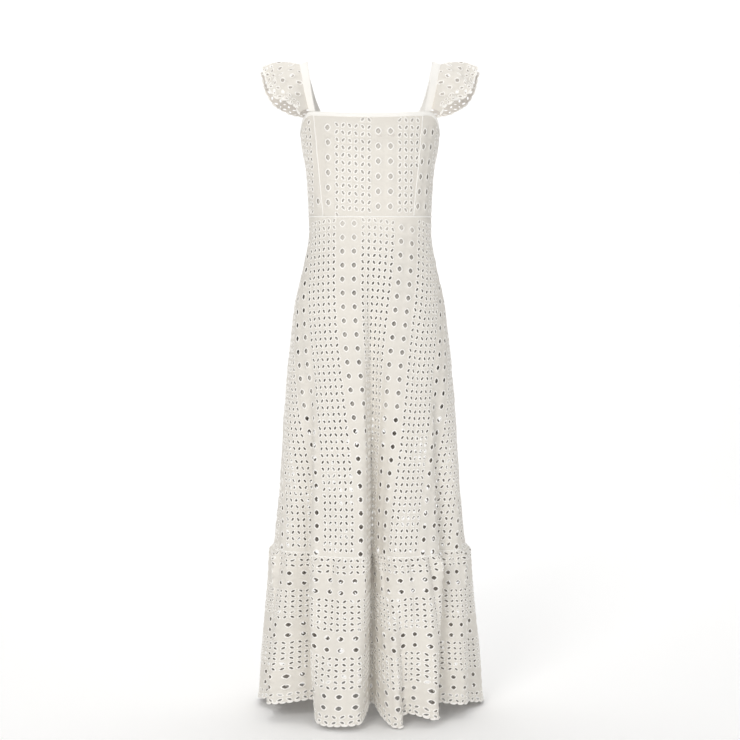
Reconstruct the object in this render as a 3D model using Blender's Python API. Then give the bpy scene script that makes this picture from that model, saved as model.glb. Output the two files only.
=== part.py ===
"""A long lace dress in cotton eyelet, worn shape with nobody in it.

Metres, +Z up. The front faces -Y and the wearer's left is +X. The origin lies between the
shoulders, level with the highest point of the two straps, where the wearer holds it up.

Cloth is placed by two coordinates: how far round it goes from centre front or centre back,
measured along the cloth, and how high it is. The pattern of the lace is laid out in the same two
coordinates, so its holes keep their size and spacing over every fold.
"""

import math

import bmesh
import bpy
import numpy as np
from mathutils import Vector

# Heights of the seams and edges.
WAIST = -0.327
FLOUNCE_SEAM = -1.034
HEM = -1.372
LINING_HEM = -0.746

# Cloth.
LACE_WALL = 0.0012
LINING_WALL = 0.0010
SEAM_GAP = 0.0003
BAND_DEPTH = 0.0085
BAND_PROUD = 0.0003
BAND_WALL = 0.0026
LINING_INSET_AT_SEAMS = 0.0017
LINING_INSET_BODICE = 0.0028
LINING_INSET_AT_HEM = 0.0135
LINING_EASE_IN = 0.030
# Angles at which the skirt lining is divided. They are close together where it folds in front.
LINING_TURNS = {
    "front": (-76, -62, -48, -35, -26, -19, -13, -9, -5, -1, 3, 7, 11, 16, 22, 30, 40, 52, 64, 77),
    "back": (-75, -60, -45, -30, -15, 0, 15, 30, 45, 60, 75),
}

# The lace repeats ten cells round and two cells down: six lines of small leaf-shaped holes, which
# stay uncut here because they are under 4 mm wide, then two lines of round eyelets.
CELL_ACROSS = 0.0125
CELL_ALONG = 0.0155
EYELET_STEP = 2 * CELL_ACROSS
EYELET_ROW_STEP = 2 * CELL_ALONG
CELLS_IN_REPEAT = 10
EYELET_RADIUS = 0.0042
EYELET_MARGIN = 0.012
SNAP = 0.004

# Where the pattern of holes starts on each part, by distance from centre front or centre back.
BODICE_FRONT_ANCHOR = 0.0171
SKIRT_FRONT_ANCHOR = -0.0580
BACK_ANCHOR = -0.0750
BODICE_EYELET_ROW = -0.3050
SKIRT_EYELET_ROW = -0.3550

# The garment's outline: half its width, and how far it reaches forwards and backwards.
SECTION_COLUMNS = ("height", "half_width", "front", "back")
SECTIONS = (
    (-0.060, 0.162, 0.084, 0.098),
    (-0.099, 0.158, 0.098, 0.106),
    (-0.146, 0.149, 0.117, 0.109),
    (-0.183, 0.145, 0.125, 0.107),
    (-0.226, 0.137, 0.119, 0.100),
    (-0.277, 0.133, 0.104, 0.090),
    (-0.327, 0.131, 0.098, 0.086),
    (-0.366, 0.131, 0.099, 0.089),
    (-0.432, 0.142, 0.105, 0.104),
    (-0.501, 0.158, 0.113, 0.120),
    (-0.570, 0.167, 0.120, 0.130),
    (-0.707, 0.180, 0.136, 0.144),
    (-0.845, 0.191, 0.151, 0.159),
    (-0.983, 0.204, 0.166, 0.174),
    (-1.034, 0.2095, 0.172, 0.180),
    (-1.155, 0.225, 0.188, 0.195),
    (-1.292, 0.240, 0.204, 0.210),
    (-1.372, 0.248, 0.213, 0.220),
    (-1.420, 0.254, 0.219, 0.226),
)
SQUARENESS = 2.3

# The bodice's upper edge, by angle round the body from centre front.
TOP_EDGE_COLUMNS = ("angle", "height")
TOP_EDGE = (
    (0, -0.1125),
    (30, -0.1110),
    (52, -0.1085),
    (64, -0.1095),
    (70, -0.1200),
    (76, -0.1340),
    (84, -0.1450),
    (96, -0.1490),
    (106, -0.1420),
    (113, -0.1280),
    (120, -0.1140),
    (128, -0.1115),
    (150, -0.1110),
    (180, -0.1110),
)

# Long soft folds in the skirt, which run on down the flounce. Angles go round from centre front,
# towards the wearer's left. The cloth dips inwards along each one.
FOLD_COLUMNS = (
    "angle_high", "angle_seam", "angle_hem", "width_before", "width_after", "dip_seam", "dip_hem", "starts",
)
FOLDS = (
    (0, 1.5, 0, 0.017, 0.031, 0.070, 0.095, -0.340),
    (-60, -48, -40.5, 0.030, 0.016, 0.036, 0.074, -0.560),
    (62, 55, 47.5, 0.016, 0.030, 0.034, 0.070, -0.560),
    (19, 20, 22.5, 0.010, 0.018, 0.000, 0.046, -1.034),
    (31, 32, 33, 0.014, 0.014, 0.002, 0.012, -0.960),
    (-84, -80, -76, 0.028, 0.028, 0.014, 0.036, -0.760),
    (86, 80, 74, 0.026, 0.026, 0.016, 0.040, -0.760),
    (118, 116, 113, 0.028, 0.028, 0.026, 0.062, -0.620),
    (-121, -117, -114, 0.030, 0.030, 0.028, 0.066, -0.640),
    (150, 152, 148, 0.024, 0.024, 0.024, 0.058, -0.700),
    (-152, -150, -146, 0.026, 0.026, 0.022, 0.054, -0.680),
    (179, 180, 182, 0.028, 0.028, 0.030, 0.070, -0.640),
)
HEM_LIFT_PER_DIP = 0.16

# How far the hem stands above or below its usual height, by angle round from centre front.
HEM_RAISE_COLUMNS = ("angle", "raise")
HEM_RAISE = (
    (-180, -0.012), (-116, -0.012), (-96, -0.004), (-76, 0.004), (-62, 0.017), (-48, 0.020), (-40, 0.014), (-32, -0.001),
    (-12, -0.004), (-3, 0.000), (3, 0.006), (9, -0.007), (15, -0.015), (19, -0.012), (25, 0.002),
    (38, -0.001), (48, 0.008), (62, 0.011), (78, -0.004), (92, -0.010), (116, -0.012), (180, -0.012),
)

# The flounce is cut wider than the seam that it is gathered into. Its cloth is turned on its side,
# so that the lines of holes run round it. Rows are measured up from the hem.
FLOUNCE_COLUMNS = 60
FLOUNCE_HALF_CUT = FLOUNCE_COLUMNS * CELL_ALONG
FLOUNCE_CUT_DEPTH = 0.3440
FLOUNCE_EYELET_ROWS = (3 * CELL_ACROSS, 13 * CELL_ACROSS, 23 * CELL_ACROSS)
FLOUNCE_PLAIN_ROWS = (0.0, 8 * CELL_ACROSS, 0.3280)
GATHERS_PER_HALF = 15
GATHER_HEIGHT = 0.0052
GATHER_FULL_AT = 0.016
GATHER_FADE = 0.105
PUFF_BELOW_SEAM = 0.0050
HEM_WAVES_PER_HALF = 9
HEM_WAVE_HEIGHT = 0.0065

# The seams that shape the bodice's front, by distance from centre front.
PRINCESS_AT_TOP = 0.1145
PRINCESS_AT_WAIST = 0.0950
PRINCESS_SHIFT = -0.0035

# Straps and shoulder ruffles, for the wearer's left. The right ones are mirrored.
STRAP_COLUMNS = ("x", "y", "z")
STRAP_PATH = (
    (0.1300, -0.0640, -0.0660),
    (0.1355, -0.0480, -0.0300),
    (0.1405, -0.0220, -0.0070),
    (0.1425, 0.0080, -0.0020),
    (0.1410, 0.0370, -0.0160),
    (0.1335, 0.0620, -0.0470),
    (0.1220, 0.0800, -0.0830),
)
STRAP_LEAN_TOP = 18
STRAP_LEAN_FRONT = 38
STRAP_LEAN_BACK = 30
STRAP_CLEARANCE = 0.0008
RUFFLE_GAP = 0.0011
STRAP_WIDTH = 0.0170
STRAP_WALL = 0.0018
STRAP_STEPS = 14
STRAP_FRONT = 60
STRAP_BACK = 127
RUFFLE_COLUMNS = ("along", "x", "y", "z")
RUFFLE_EDGE = (
    (0.02, 0.1450, -0.0830, -0.1110),
    (0.10, 0.1590, -0.0950, -0.0970),
    (0.20, 0.1790, -0.0960, -0.0830),
    (0.30, 0.2030, -0.0820, -0.0730),
    (0.40, 0.2170, -0.0520, -0.0450),
    (0.50, 0.2260, -0.0050, -0.0170),
    (0.60, 0.2310, 0.0380, -0.0230),
    (0.70, 0.2290, 0.0720, -0.0450),
    (0.80, 0.2120, 0.0960, -0.0800),
    (0.90, 0.1740, 0.1040, -0.1020),
    (0.98, 0.1330, 0.0960, -0.1150),
)
RUFFLE_STEPS = 36
RUFFLE_ROWS = (0.0, 0.25, 0.62, 1.0)
RUFFLE_WAVES = 7
RUFFLE_WAVE_HEIGHT = 0.0095
RUFFLE_ARCH = 0.010
RUFFLE_WALL = 0.0011

ZIP_HALF_WIDTH = 0.0028
ZIP_WALL = 0.0014
ZIP_PROUD = 0.0003
ZIP_END = SKIRT_EYELET_ROW - 4 * EYELET_ROW_STEP
SLIDER_TOP = -0.1230
SLIDER_END = -0.1310
SLIDER_PROUD = 0.0016

WHITE_LACE = (0.86, 0.85, 0.83, 1.0)
WHITE_BAND = (0.91, 0.90, 0.87, 1.0)
LINING_WHITE = (0.80, 0.79, 0.77, 1.0)
ZIP_WHITE = (0.84, 0.84, 0.82, 1.0)

LEFT_SIDE = math.pi / 2
CENTRE_BACK = math.pi
ANGLES = np.linspace(-2 * math.pi, 2 * math.pi, 2881)


def column(table, columns, name):
    return np.array([row[columns.index(name)] for row in table], float)


def smooth(at, xs, ys):
    """A smooth curve through a table's points, read at one place or many."""
    if xs[0] > xs[-1]:
        xs, ys = xs[::-1], ys[::-1]
    slopes = np.gradient(ys, xs)
    at = np.clip(at, xs[0], xs[-1])
    i = np.clip(np.searchsorted(xs, at) - 1, 0, len(xs) - 2)
    step = xs[i + 1] - xs[i]
    t = (at - xs[i]) / step
    start = (1 + 2 * t) * (1 - t) ** 2 * ys[i] + t * (1 - t) ** 2 * step * slopes[i]
    end = t * t * (3 - 2 * t) * ys[i + 1] + t * t * (t - 1) * step * slopes[i + 1]
    return start + end


def ease(t):
    t = np.clip(t, 0.0, 1.0)
    return t * t * (3 - 2 * t)


def outline(height, name):
    return smooth(
        height,
        column(SECTIONS, SECTION_COLUMNS, "height"),
        column(SECTIONS, SECTION_COLUMNS, name),
    )


def body_radius(angle, height):
    """Distance from the middle to the smooth outline, before any fold."""
    across = np.abs(np.sin(angle)) / outline(height, "half_width")
    reach = np.where(np.cos(angle) > 0, outline(height, "front"), outline(height, "back"))
    along = np.abs(np.cos(angle)) / reach
    return (across**SQUARENESS + along**SQUARENESS) ** (-1 / SQUARENESS)


def fold_dip(angle, height, radius):
    """How far the long folds take the cloth inwards."""
    to_seam = (WAIST - height) / (WAIST - FLOUNCE_SEAM)
    to_hem = np.clip((FLOUNCE_SEAM - height) / (FLOUNCE_SEAM - HEM), 0.0, 1.1)
    dip = np.zeros(np.broadcast(angle, height).shape)
    for high, seam, hem, before, after, dip_seam, dip_hem, starts in FOLDS:
        upper = high + (seam - high) * np.clip(to_seam, 0, 1)
        line = np.radians(upper + (hem - seam) * to_hem)
        away = (angle - line + math.pi) % (2 * math.pi) - math.pi
        width = np.where(away < 0, before, after) * (1 + 0.35 * to_hem)
        growth = ease((starts - height) / (starts - FLOUNCE_SEAM)) if starts > FLOUNCE_SEAM else 1.0
        depth = dip_seam * growth + (dip_hem - dip_seam) * to_hem
        dip = dip + depth * np.exp(-((away * radius / width) ** 2))
    return dip


def lace_radius(angle, height):
    radius = body_radius(angle, height)
    return radius - fold_dip(angle, height, radius)


def on_ring(angle, radius, height):
    return (radius * math.sin(angle), -radius * math.cos(angle), height)


def arc_lengths(height, cache={}):
    """Distance along the cloth at this height, for each of ANGLES, from angle 0."""
    key = round(float(height), 6)
    if key not in cache:
        radius = lace_radius(ANGLES, key)
        x, y = radius * np.sin(ANGLES), -radius * np.cos(ANGLES)
        steps = np.hypot(np.diff(x), np.diff(y))
        along = np.concatenate([[0.0], np.cumsum(steps)])
        cache[key] = along - np.interp(0.0, ANGLES, along)
    return cache[key]


def angle_of(distance, height, start=0.0):
    """The angle that this distance along the cloth reaches from the angle start."""
    along = arc_lengths(height)
    return float(np.interp(distance + np.interp(start, ANGLES, along), along, ANGLES))


def distance_of(angle, height, start=0.0):
    along = arc_lengths(height)
    return float(np.interp(angle, ANGLES, along) - np.interp(start, ANGLES, along))


def top_edge(angle):
    turned = abs((math.degrees(angle) + 180) % 360 - 180)
    return float(
        smooth(
            turned,
            column(TOP_EDGE, TOP_EDGE_COLUMNS, "angle"),
            column(TOP_EDGE, TOP_EDGE_COLUMNS, "height"),
        )
    )


def lace_point(distance, height, start=0.0, move_out=0.0):
    angle = angle_of(distance, height, start)
    return on_ring(angle, float(lace_radius(angle, height)) + move_out, height)


def material(name, color, roughness):
    made = bpy.data.materials.new(name)
    made.use_nodes = True
    shader = made.node_tree.nodes["Principled BSDF"]
    shader.inputs["Base Color"].default_value = color
    shader.inputs["Roughness"].default_value = roughness
    shader.inputs["Metallic"].default_value = 0.0
    return made


LACE = material("cotton_eyelet", WHITE_LACE, 0.85)
BAND = material("cotton_band", WHITE_BAND, 0.80)
LINING = material("cotton_lining", LINING_WHITE, 0.90)
ZIP = material("zip_tape", ZIP_WHITE, 0.70)


def trimmed_cells(columns, rows, left, right, low, high, eyelets=()):
    """The cells of a cutting grid, with corners outside the pattern piece moved onto its edge.

    left and right give the piece's edges at a height, low and high at a distance round. eyelets
    holds the grid corners that a round hole is cut at, as pairs of column and row.
    """

    def trimmed(at_u, at_v):
        u, v = at_u, at_v
        for _ in range(14):
            first, last = left(v), right(v)
            u = first if at_u < first + SNAP else last if at_u > last - SNAP else at_u
            first, last = low(u), high(u)
            v = first if at_v < first + SNAP else last if at_v > last - SNAP else at_v
        return (round(u, 6), round(v, 6))

    corners = {(i, j): trimmed(u, v) for i, u in enumerate(columns) for j, v in enumerate(rows)}
    holes = {}
    for i, j in eyelets:
        u, v = corners[i, j]
        clear_across = left(v) + EYELET_MARGIN < u < right(v) - EYELET_MARGIN
        clear_along = low(u) + EYELET_MARGIN < v < high(u) - EYELET_MARGIN
        if clear_across and clear_along:
            holes[u, v] = True
    cells = []
    for i in range(len(columns) - 1):
        for j in range(len(rows) - 1):
            ring = [corners[k] for k in ((i, j), (i + 1, j), (i + 1, j + 1), (i, j + 1))]
            loop = [p for k, p in enumerate(ring) if p != ring[k - 1]]
            if len(set(loop)) < 3:
                continue
            cells.append(with_eyelets(loop, holes))
    return cells, len(holes)


def with_eyelets(loop, holes):
    """The cell's loop with each corner that lies at an eyelet's centre cut back to its edge."""
    cut = []
    for k, point in enumerate(loop):
        if point not in holes:
            cut.append(point)
            continue
        here = Vector(point)
        for other in (loop[k - 1], loop[(k + 1) % len(loop)]):
            edge = here + (Vector(other) - here).normalized() * EYELET_RADIUS
            cut.append((round(edge.x, 7), round(edge.y, 7)))
    return cut


def triangles_of(loop, places):
    """Indices into the loop. A four-sided cell is split along its shorter diagonal."""
    first = 0
    if len(loop) == 4:
        a, b, c, d = (Vector(places[p]) for p in loop)
        first = 0 if (a - c).length <= (b - d).length else 1
    order = [(first + k) % len(loop) for k in range(len(loop))]
    return [(loop[order[0]], loop[order[k]], loop[order[k + 1]]) for k in range(1, len(loop) - 1)]


def level_normal(place, u, v, reach):
    """Which way is out of the cloth at a place, kept level so that seams stay in line."""
    run = Vector(place(u + reach, v)) - Vector(place(u - reach, v))
    return Vector((run.y, -run.x, 0.0)).normalized()


def cloth_wall(name, cells, place, thickness, finish, reach=0.0015):
    """A closed wall: the cells at place(u, v) as its outer face, and the same moved inwards."""

    def both_faces(u, v):
        outer = Vector(place(u, v))
        return outer, outer - level_normal(place, u, v, reach) * thickness

    thick_sheet(name, cells, both_faces, 1, finish)


def solid(name, points, polygons, finish):
    """A named object with its faces pointing out, shaded smooth but for its rims."""
    mesh = bpy.data.meshes.new(name)
    mesh.from_pydata([tuple(p) for p in points], [], polygons)
    work = bmesh.new()
    work.from_mesh(mesh)
    if work.calc_volume(signed=True) < 0:
        bmesh.ops.reverse_faces(work, faces=work.faces)
    work.to_mesh(mesh)
    work.free()
    mesh.materials.append(finish)
    mesh.shade_smooth()
    mesh.set_sharp_from_angle(angle=math.radians(50))
    made = bpy.data.objects.new(name, mesh)
    bpy.context.scene.collection.objects.link(made)
    return made


def steps_through(anchor, step, low, high):
    """Grid lines a step apart that pass through anchor, and the first one's place in the count."""
    first = math.floor((low - anchor) / step)
    last = math.ceil((high - anchor) / step)
    return [anchor + k * step for k in range(first, last + 1)], first


def eyelet_corners(columns, rows, first, cells_a_column, rows_cut):
    """Grid corners on the lace's two eyelet lines, in the rows that are cut."""
    return [
        (i, j)
        for i in range(len(columns))
        for j in range(len(rows))
        if (i + first) * cells_a_column % CELLS_IN_REPEAT in (0, 2) and rows_cut(i + first, j)
    ]


def princess_angle(height, side):
    share = (height - WAIST) / (top_edge(0.0) - WAIST)
    across = PRINCESS_AT_WAIST + (PRINCESS_AT_TOP - PRINCESS_AT_WAIST) * share + side * PRINCESS_SHIFT
    tries = np.radians(np.linspace(20, 85, 400))
    return side * float(np.interp(across, lace_radius(tries, height) * np.sin(tries), tries))


def back_opening(height):
    """Half the space that the back panels leave for the zip."""
    return ZIP_HALF_WIDTH + SEAM_GAP if height > ZIP_END - SNAP else SEAM_GAP / 2


def bodice_top(distance, start):
    return top_edge(angle_of(distance, -0.12, start)) - BAND_DEPTH - SEAM_GAP


def bodice_panel(name, start, anchor, left, right):
    """A bodice panel between two seams. left and right give its edges, by height."""
    columns, first = steps_through(anchor, EYELET_STEP, -0.26, 0.26)
    rows, _ = steps_through(BODICE_EYELET_ROW, EYELET_ROW_STEP, WAIST, -0.09)
    cells, cut = trimmed_cells(
        columns,
        rows,
        left,
        right,
        lambda u: WAIST + SEAM_GAP / 2,
        lambda u: bodice_top(u, start),
        eyelet_corners(columns, rows, first, 2, lambda i, j: (i + j) % 2 == 0),
    )
    cloth_wall(name, cells, lambda u, v: lace_point(u, v, start), LACE_WALL, LACE)
    along_top = sorted({p for loop in cells for p in loop if abs(p[1] - bodice_top(p[0], start)) < 2e-5})
    return cut, [(angle_of(u, v, start), v) for u, v in along_top]


def bodice():
    half_gap = SEAM_GAP / 2

    def seam(angle_at, start, side):
        return lambda v: distance_of(angle_at(v), v, start) + side * half_gap

    panels = (
        (
            "bodice_side_front_right", 0.0, BODICE_FRONT_ANCHOR,
            seam(lambda v: -LEFT_SIDE, 0.0, 1), seam(lambda v: princess_angle(v, -1), 0.0, -1),
        ),
        (
            "bodice_centre_front", 0.0, BODICE_FRONT_ANCHOR,
            seam(lambda v: princess_angle(v, -1), 0.0, 1), seam(lambda v: princess_angle(v, 1), 0.0, -1),
        ),
        (
            "bodice_side_front_left", 0.0, BODICE_FRONT_ANCHOR,
            seam(lambda v: princess_angle(v, 1), 0.0, 1), seam(lambda v: LEFT_SIDE, 0.0, -1),
        ),
        (
            "bodice_back_left", CENTRE_BACK, BACK_ANCHOR,
            seam(lambda v: LEFT_SIDE, CENTRE_BACK, 1), lambda v: -back_opening(v),
        ),
        (
            "bodice_back_right", CENTRE_BACK, BACK_ANCHOR,
            back_opening, seam(lambda v: 3 * LEFT_SIDE, CENTRE_BACK, -1),
        ),
    )
    cut, along_top = 0, []
    for name, start, anchor, left, right in panels:
        here, edge = bodice_panel(name, start, anchor, left, right)
        cut += here
        along_top += edge
    return cut, along_top


def skirt_panel(name, start, anchor, left, right):
    columns, first = steps_through(anchor, CELL_ACROSS, -0.42, 0.42)
    rows = sorted(SKIRT_EYELET_ROW - 2 * k * EYELET_ROW_STEP for k in range(-1, 12))
    cells, cut = trimmed_cells(
        columns,
        rows,
        left,
        right,
        lambda u: FLOUNCE_SEAM + SEAM_GAP / 2,
        lambda u: WAIST - SEAM_GAP / 2,
        eyelet_corners(columns, rows, first, 1, lambda i, j: True),
    )
    cloth_wall(name, cells, lambda u, v: lace_point(u, v, start), LACE_WALL, LACE)
    return cut


def skirt():
    half_gap = SEAM_GAP / 2
    cut = skirt_panel(
        "skirt_front", 0.0, SKIRT_FRONT_ANCHOR,
        lambda v: distance_of(-LEFT_SIDE, v) + half_gap,
        lambda v: distance_of(LEFT_SIDE, v) - half_gap,
    )
    cut += skirt_panel(
        "skirt_back_left", CENTRE_BACK, BACK_ANCHOR,
        lambda v: distance_of(LEFT_SIDE, v, CENTRE_BACK) + half_gap,
        lambda v: -back_opening(v),
    )
    cut += skirt_panel(
        "skirt_back_right", CENTRE_BACK, BACK_ANCHOR,
        back_opening,
        lambda v: distance_of(3 * LEFT_SIDE, v, CENTRE_BACK) - half_gap,
    )
    return cut


def flounce_point(share, below, start):
    """share runs from -1 to 1 between the side seams. below is measured down the cloth."""
    down = below / FLOUNCE_CUT_DEPTH
    height = FLOUNCE_SEAM + (HEM - FLOUNCE_SEAM) * down
    edge = distance_of(start + math.copysign(LEFT_SIDE, share), height, start)
    angle = angle_of(abs(share) * edge, height, start)
    full = ease(below / GATHER_FULL_AT)
    settle = math.exp(-max(0.0, below - GATHER_FULL_AT) / GATHER_FADE)
    uneven = 0.55 * math.sin(5 * share * math.pi + start) + 0.35 * math.sin(11 * share + 1.0)
    gather = full * settle * math.cos(GATHERS_PER_HALF * math.pi * share + uneven)
    wave = ease(down) * math.cos(HEM_WAVES_PER_HALF * math.pi * share + 2 * uneven + 1.3)
    clear_of_side = ease((1 - abs(share)) / 0.08)
    puff = PUFF_BELOW_SEAM * full * settle
    out = puff + (GATHER_HEIGHT * gather + HEM_WAVE_HEIGHT * wave) * clear_of_side
    radius = float(lace_radius(angle, height))
    dip = float(body_radius(angle, height)) - radius
    turned = (math.degrees(angle) + 180) % 360 - 180
    raise_by = smooth(turned, *(column(HEM_RAISE, HEM_RAISE_COLUMNS, k) for k in HEM_RAISE_COLUMNS))
    lift = HEM_LIFT_PER_DIP * dip + float(raise_by)
    return on_ring(angle, radius + out, height + lift * down)


def flounce():
    cut = 0
    half = FLOUNCE_HALF_CUT / 2
    rows = sorted(
        [FLOUNCE_CUT_DEPTH - up for up in FLOUNCE_EYELET_ROWS + FLOUNCE_PLAIN_ROWS] + [SEAM_GAP / 2]
    )
    cut_rows = [rows.index(FLOUNCE_CUT_DEPTH - up) for up in FLOUNCE_EYELET_ROWS]
    columns = [(k - FLOUNCE_COLUMNS / 2) * CELL_ALONG for k in range(FLOUNCE_COLUMNS + 1)]
    corners = [(i, j) for i in range(2, FLOUNCE_COLUMNS - 1, 4) for j in cut_rows]
    for name, start in (("flounce_front", 0.0), ("flounce_back", CENTRE_BACK)):
        cells, here = trimmed_cells(
            columns,
            rows,
            lambda v: -half + SEAM_GAP,
            lambda v: half - SEAM_GAP,
            lambda u: SEAM_GAP / 2,
            lambda u: FLOUNCE_CUT_DEPTH,
            corners,
        )
        cloth_wall(
            name,
            cells,
            lambda u, v, start=start: flounce_point(u / half, v, start),
            LACE_WALL,
            LACE,
        )
        cut += here
    return cut


def lining_inset(height):
    """How far inside the lace's outer face the lining hangs, at this height."""
    if height > WAIST:
        from_seam = min(height - WAIST, max(0.0, -0.110 - height))
        share = ease(from_seam / LINING_EASE_IN)
        return LINING_INSET_AT_SEAMS + (LINING_INSET_BODICE - LINING_INSET_AT_SEAMS) * share
    share = (WAIST - height) / (WAIST - LINING_HEM)
    return LINING_INSET_AT_SEAMS + (LINING_INSET_AT_HEM - LINING_INSET_AT_SEAMS) * ease(share)


def lining():
    """A plain cotton slip: a bodice lining to the neck, and a straight skirt that ends at the knee."""
    for name, start, anchor in (("front", 0.0, BODICE_FRONT_ANCHOR), ("back", CENTRE_BACK, BACK_ANCHOR)):
        columns, _ = steps_through(anchor, EYELET_STEP, -0.26, 0.26)
        rows, _ = steps_through(BODICE_EYELET_ROW, EYELET_ROW_STEP, WAIST, -0.09)
        cells, _ = trimmed_cells(
            columns,
            rows,
            lambda v, s=start: distance_of(s - LEFT_SIDE, v, s) + SEAM_GAP / 2,
            lambda v, s=start: distance_of(s + LEFT_SIDE, v, s) - SEAM_GAP / 2,
            lambda u: WAIST + SEAM_GAP / 2,
            lambda u, s=start: bodice_top(u, s),
        )
        cloth_wall(
            "lining_bodice_" + name,
            cells,
            lambda u, v, s=start: lace_point(u, v, s, -lining_inset(v)),
            LINING_WALL,
            LINING,
        )
        nick = 0.0015
        turns = [start + math.radians(turn) for turn in LINING_TURNS[name]]
        turns = [start - LEFT_SIDE + nick] + turns + [start + LEFT_SIDE - nick]
        drops = [SKIRT_EYELET_ROW - 2 * k * EYELET_ROW_STEP for k in range(6)]
        drops = [WAIST - SEAM_GAP / 2] + drops + [LINING_HEM]
        cloth_wall(
            "lining_skirt_" + name,
            ribbon_cells(turns, drops),
            lambda turn, v: on_ring(turn, float(lace_radius(turn, v)) - lining_inset(v), v),
            LINING_WALL,
            LINING,
            reach=0.01,
        )


def edge_band(name, points):
    """A narrow band folded over the bodice's upper edge, along the given points of that edge."""

    def both_faces(k, up):
        angle, height = points[int(k)]
        raised = height + 2 * SEAM_GAP + BAND_DEPTH * up
        radius = float(lace_radius(angle, raised)) + BAND_PROUD
        return on_ring(angle, radius, raised), on_ring(angle, radius - BAND_WALL, raised)

    thick_sheet(name, ribbon_cells(list(range(len(points))), [0.0, 1.0]), both_faces, 1, BAND)


def bands(along_top):
    """Bands round the neck and the armholes. They part at the straps and at the zip."""
    turn = 2 * math.pi
    edge = sorted((angle % turn, height) for angle, height in along_top)
    edge += [(angle + turn, height) for angle, height in edge]
    merged = [edge[0]]
    for point in edge[1:]:
        if point[0] - merged[-1][0] > 0.01 or abs(point[0] - math.pi) < 0.06:
            merged.append(point)

    def nearest(angle):
        return min(range(len(merged)), key=lambda k: abs(merged[k][0] - angle))

    front, back = math.radians(STRAP_FRONT), math.radians(STRAP_BACK)
    stops = [nearest(a) for a in (front, back, turn - back, turn - front, turn + front)]
    nick = SEAM_GAP / 0.12

    def between(first, last):
        points = list(merged[first : last + 1])
        points[0] = (points[0][0] + nick, points[0][1])
        points[-1] = (points[-1][0] - nick, points[-1][1])
        return points

    middle = nearest(math.pi - 0.02)
    edge_band("armhole_band_left", between(stops[0], stops[1]))
    edge_band("neck_band_back_left", between(stops[1], middle))
    edge_band("neck_band_back_right", between(middle + 1, stops[2]))
    edge_band("armhole_band_right", between(stops[2], stops[3]))
    edge_band("neck_band_front", between(stops[3], stops[4]))


def ribbon_cells(lengthwise, crosswise):
    return [
        [(lengthwise[i], crosswise[j]), (lengthwise[i + 1], crosswise[j]),
         (lengthwise[i + 1], crosswise[j + 1]), (lengthwise[i], crosswise[j + 1])]
        for i in range(len(lengthwise) - 1)
        for j in range(len(crosswise) - 1)
    ]


def strap_end(angle_deg):
    """Where a strap meets the band, on the middle of the band's upper edge."""
    angle = math.radians(angle_deg)
    near = [math.radians(angle_deg + step) for step in (-4, 0, 4)]
    height = max(top_edge(a) for a in near) + STRAP_CLEARANCE
    radius = float(lace_radius(angle, height)) + BAND_PROUD - BAND_WALL / 2
    return on_ring(angle, radius, height)


def strap_middle(t):
    path = [strap_end(STRAP_FRONT)] + [row[:3] for row in STRAP_PATH] + [strap_end(STRAP_BACK)]
    path = np.array(path)
    ts = np.concatenate([[0.0], np.cumsum(np.linalg.norm(np.diff(path, axis=0), axis=1))])
    return Vector([float(smooth(t, ts / ts[-1], path[:, k])) for k in range(3)])


def strap_frame(t):
    """Middle of the strap, the direction of its width, and the way that its upper face looks."""
    middle = strap_middle(t)
    run = (strap_middle(min(1, t + 0.01)) - strap_middle(max(0, t - 0.01))).normalized()
    to_end = abs(2 * t - 1)
    lean_at_end = STRAP_LEAN_FRONT if t < 0.5 else STRAP_LEAN_BACK
    lean = math.radians(STRAP_LEAN_TOP + (lean_at_end - STRAP_LEAN_TOP) * to_end)
    along_y = math.sin(lean) * (1 if t < 0.5 else -1) * ease(to_end)
    across = Vector((math.cos(lean), along_y, -math.sin(lean) * (1 - ease(to_end))))
    across = across.normalized()
    out = across.cross(run).normalized()
    return middle, across, out if out.z > 0 or out.y * (t - 0.5) > 0 else -out


def mirrored(point, side):
    return Vector((point[0] * side, point[1], point[2]))


def thick_sheet(name, cells, both_faces, side, finish):
    """A closed wall from a function that gives the outer and the inner point of each place."""
    keys = sorted({p for loop in cells for p in loop})
    outer, inner = {}, {}
    for p in keys:
        above, below = both_faces(*p)
        outer[p], inner[p] = mirrored(above, side), mirrored(below, side)
    faces = [t for loop in cells for t in triangles_of(loop, outer)]
    index = {p: k for k, p in enumerate(keys)}
    count = len(keys)
    polygons, edges = [], {}
    for a, b, c in faces:
        a, b, c = index[a], index[b], index[c]
        polygons += [(a, b, c), (count + c, count + b, count + a)]
        edges.update({(a, b): True, (b, c): True, (c, a): True})
    for start, end in edges:
        if (end, start) not in edges:
            polygons += [(start, count + start, count + end), (start, count + end, end)]
    points = [outer[p] for p in keys] + [inner[p] for p in keys]
    solid(name, points, polygons, finish)


def strap_faces(t, across_share):
    middle, across, out = strap_frame(t)
    here = middle + across * STRAP_WIDTH * across_share
    return here + out * STRAP_WALL / 2, here - out * STRAP_WALL / 2


def ruffle_middle(t, share):
    """A place on the ruffle: share 0 is its seam on the strap, and share 1 its free edge."""
    middle, across, out = strap_frame(t)
    seam = middle + across * (STRAP_WIDTH / 2 + RUFFLE_GAP)
    alongs = column(RUFFLE_EDGE, RUFFLE_COLUMNS, "along")
    edge = Vector([float(smooth(t, alongs, column(RUFFLE_EDGE, RUFFLE_COLUMNS, k))) for k in "xyz"])
    here = seam.lerp(edge, share)
    reach = (edge - seam).length
    up = out * RUFFLE_ARCH * math.sin(math.pi * min(1.0, share)) * min(1.0, reach / 0.05)
    uneven = 0.7 * math.sin(9 * t + 0.5)
    wave = math.sin(RUFFLE_WAVES * 2 * math.pi * t + uneven)
    height = RUFFLE_WAVE_HEIGHT * share**1.3 * min(1.0, reach / 0.06) * wave
    return here + up + out * height


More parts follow.
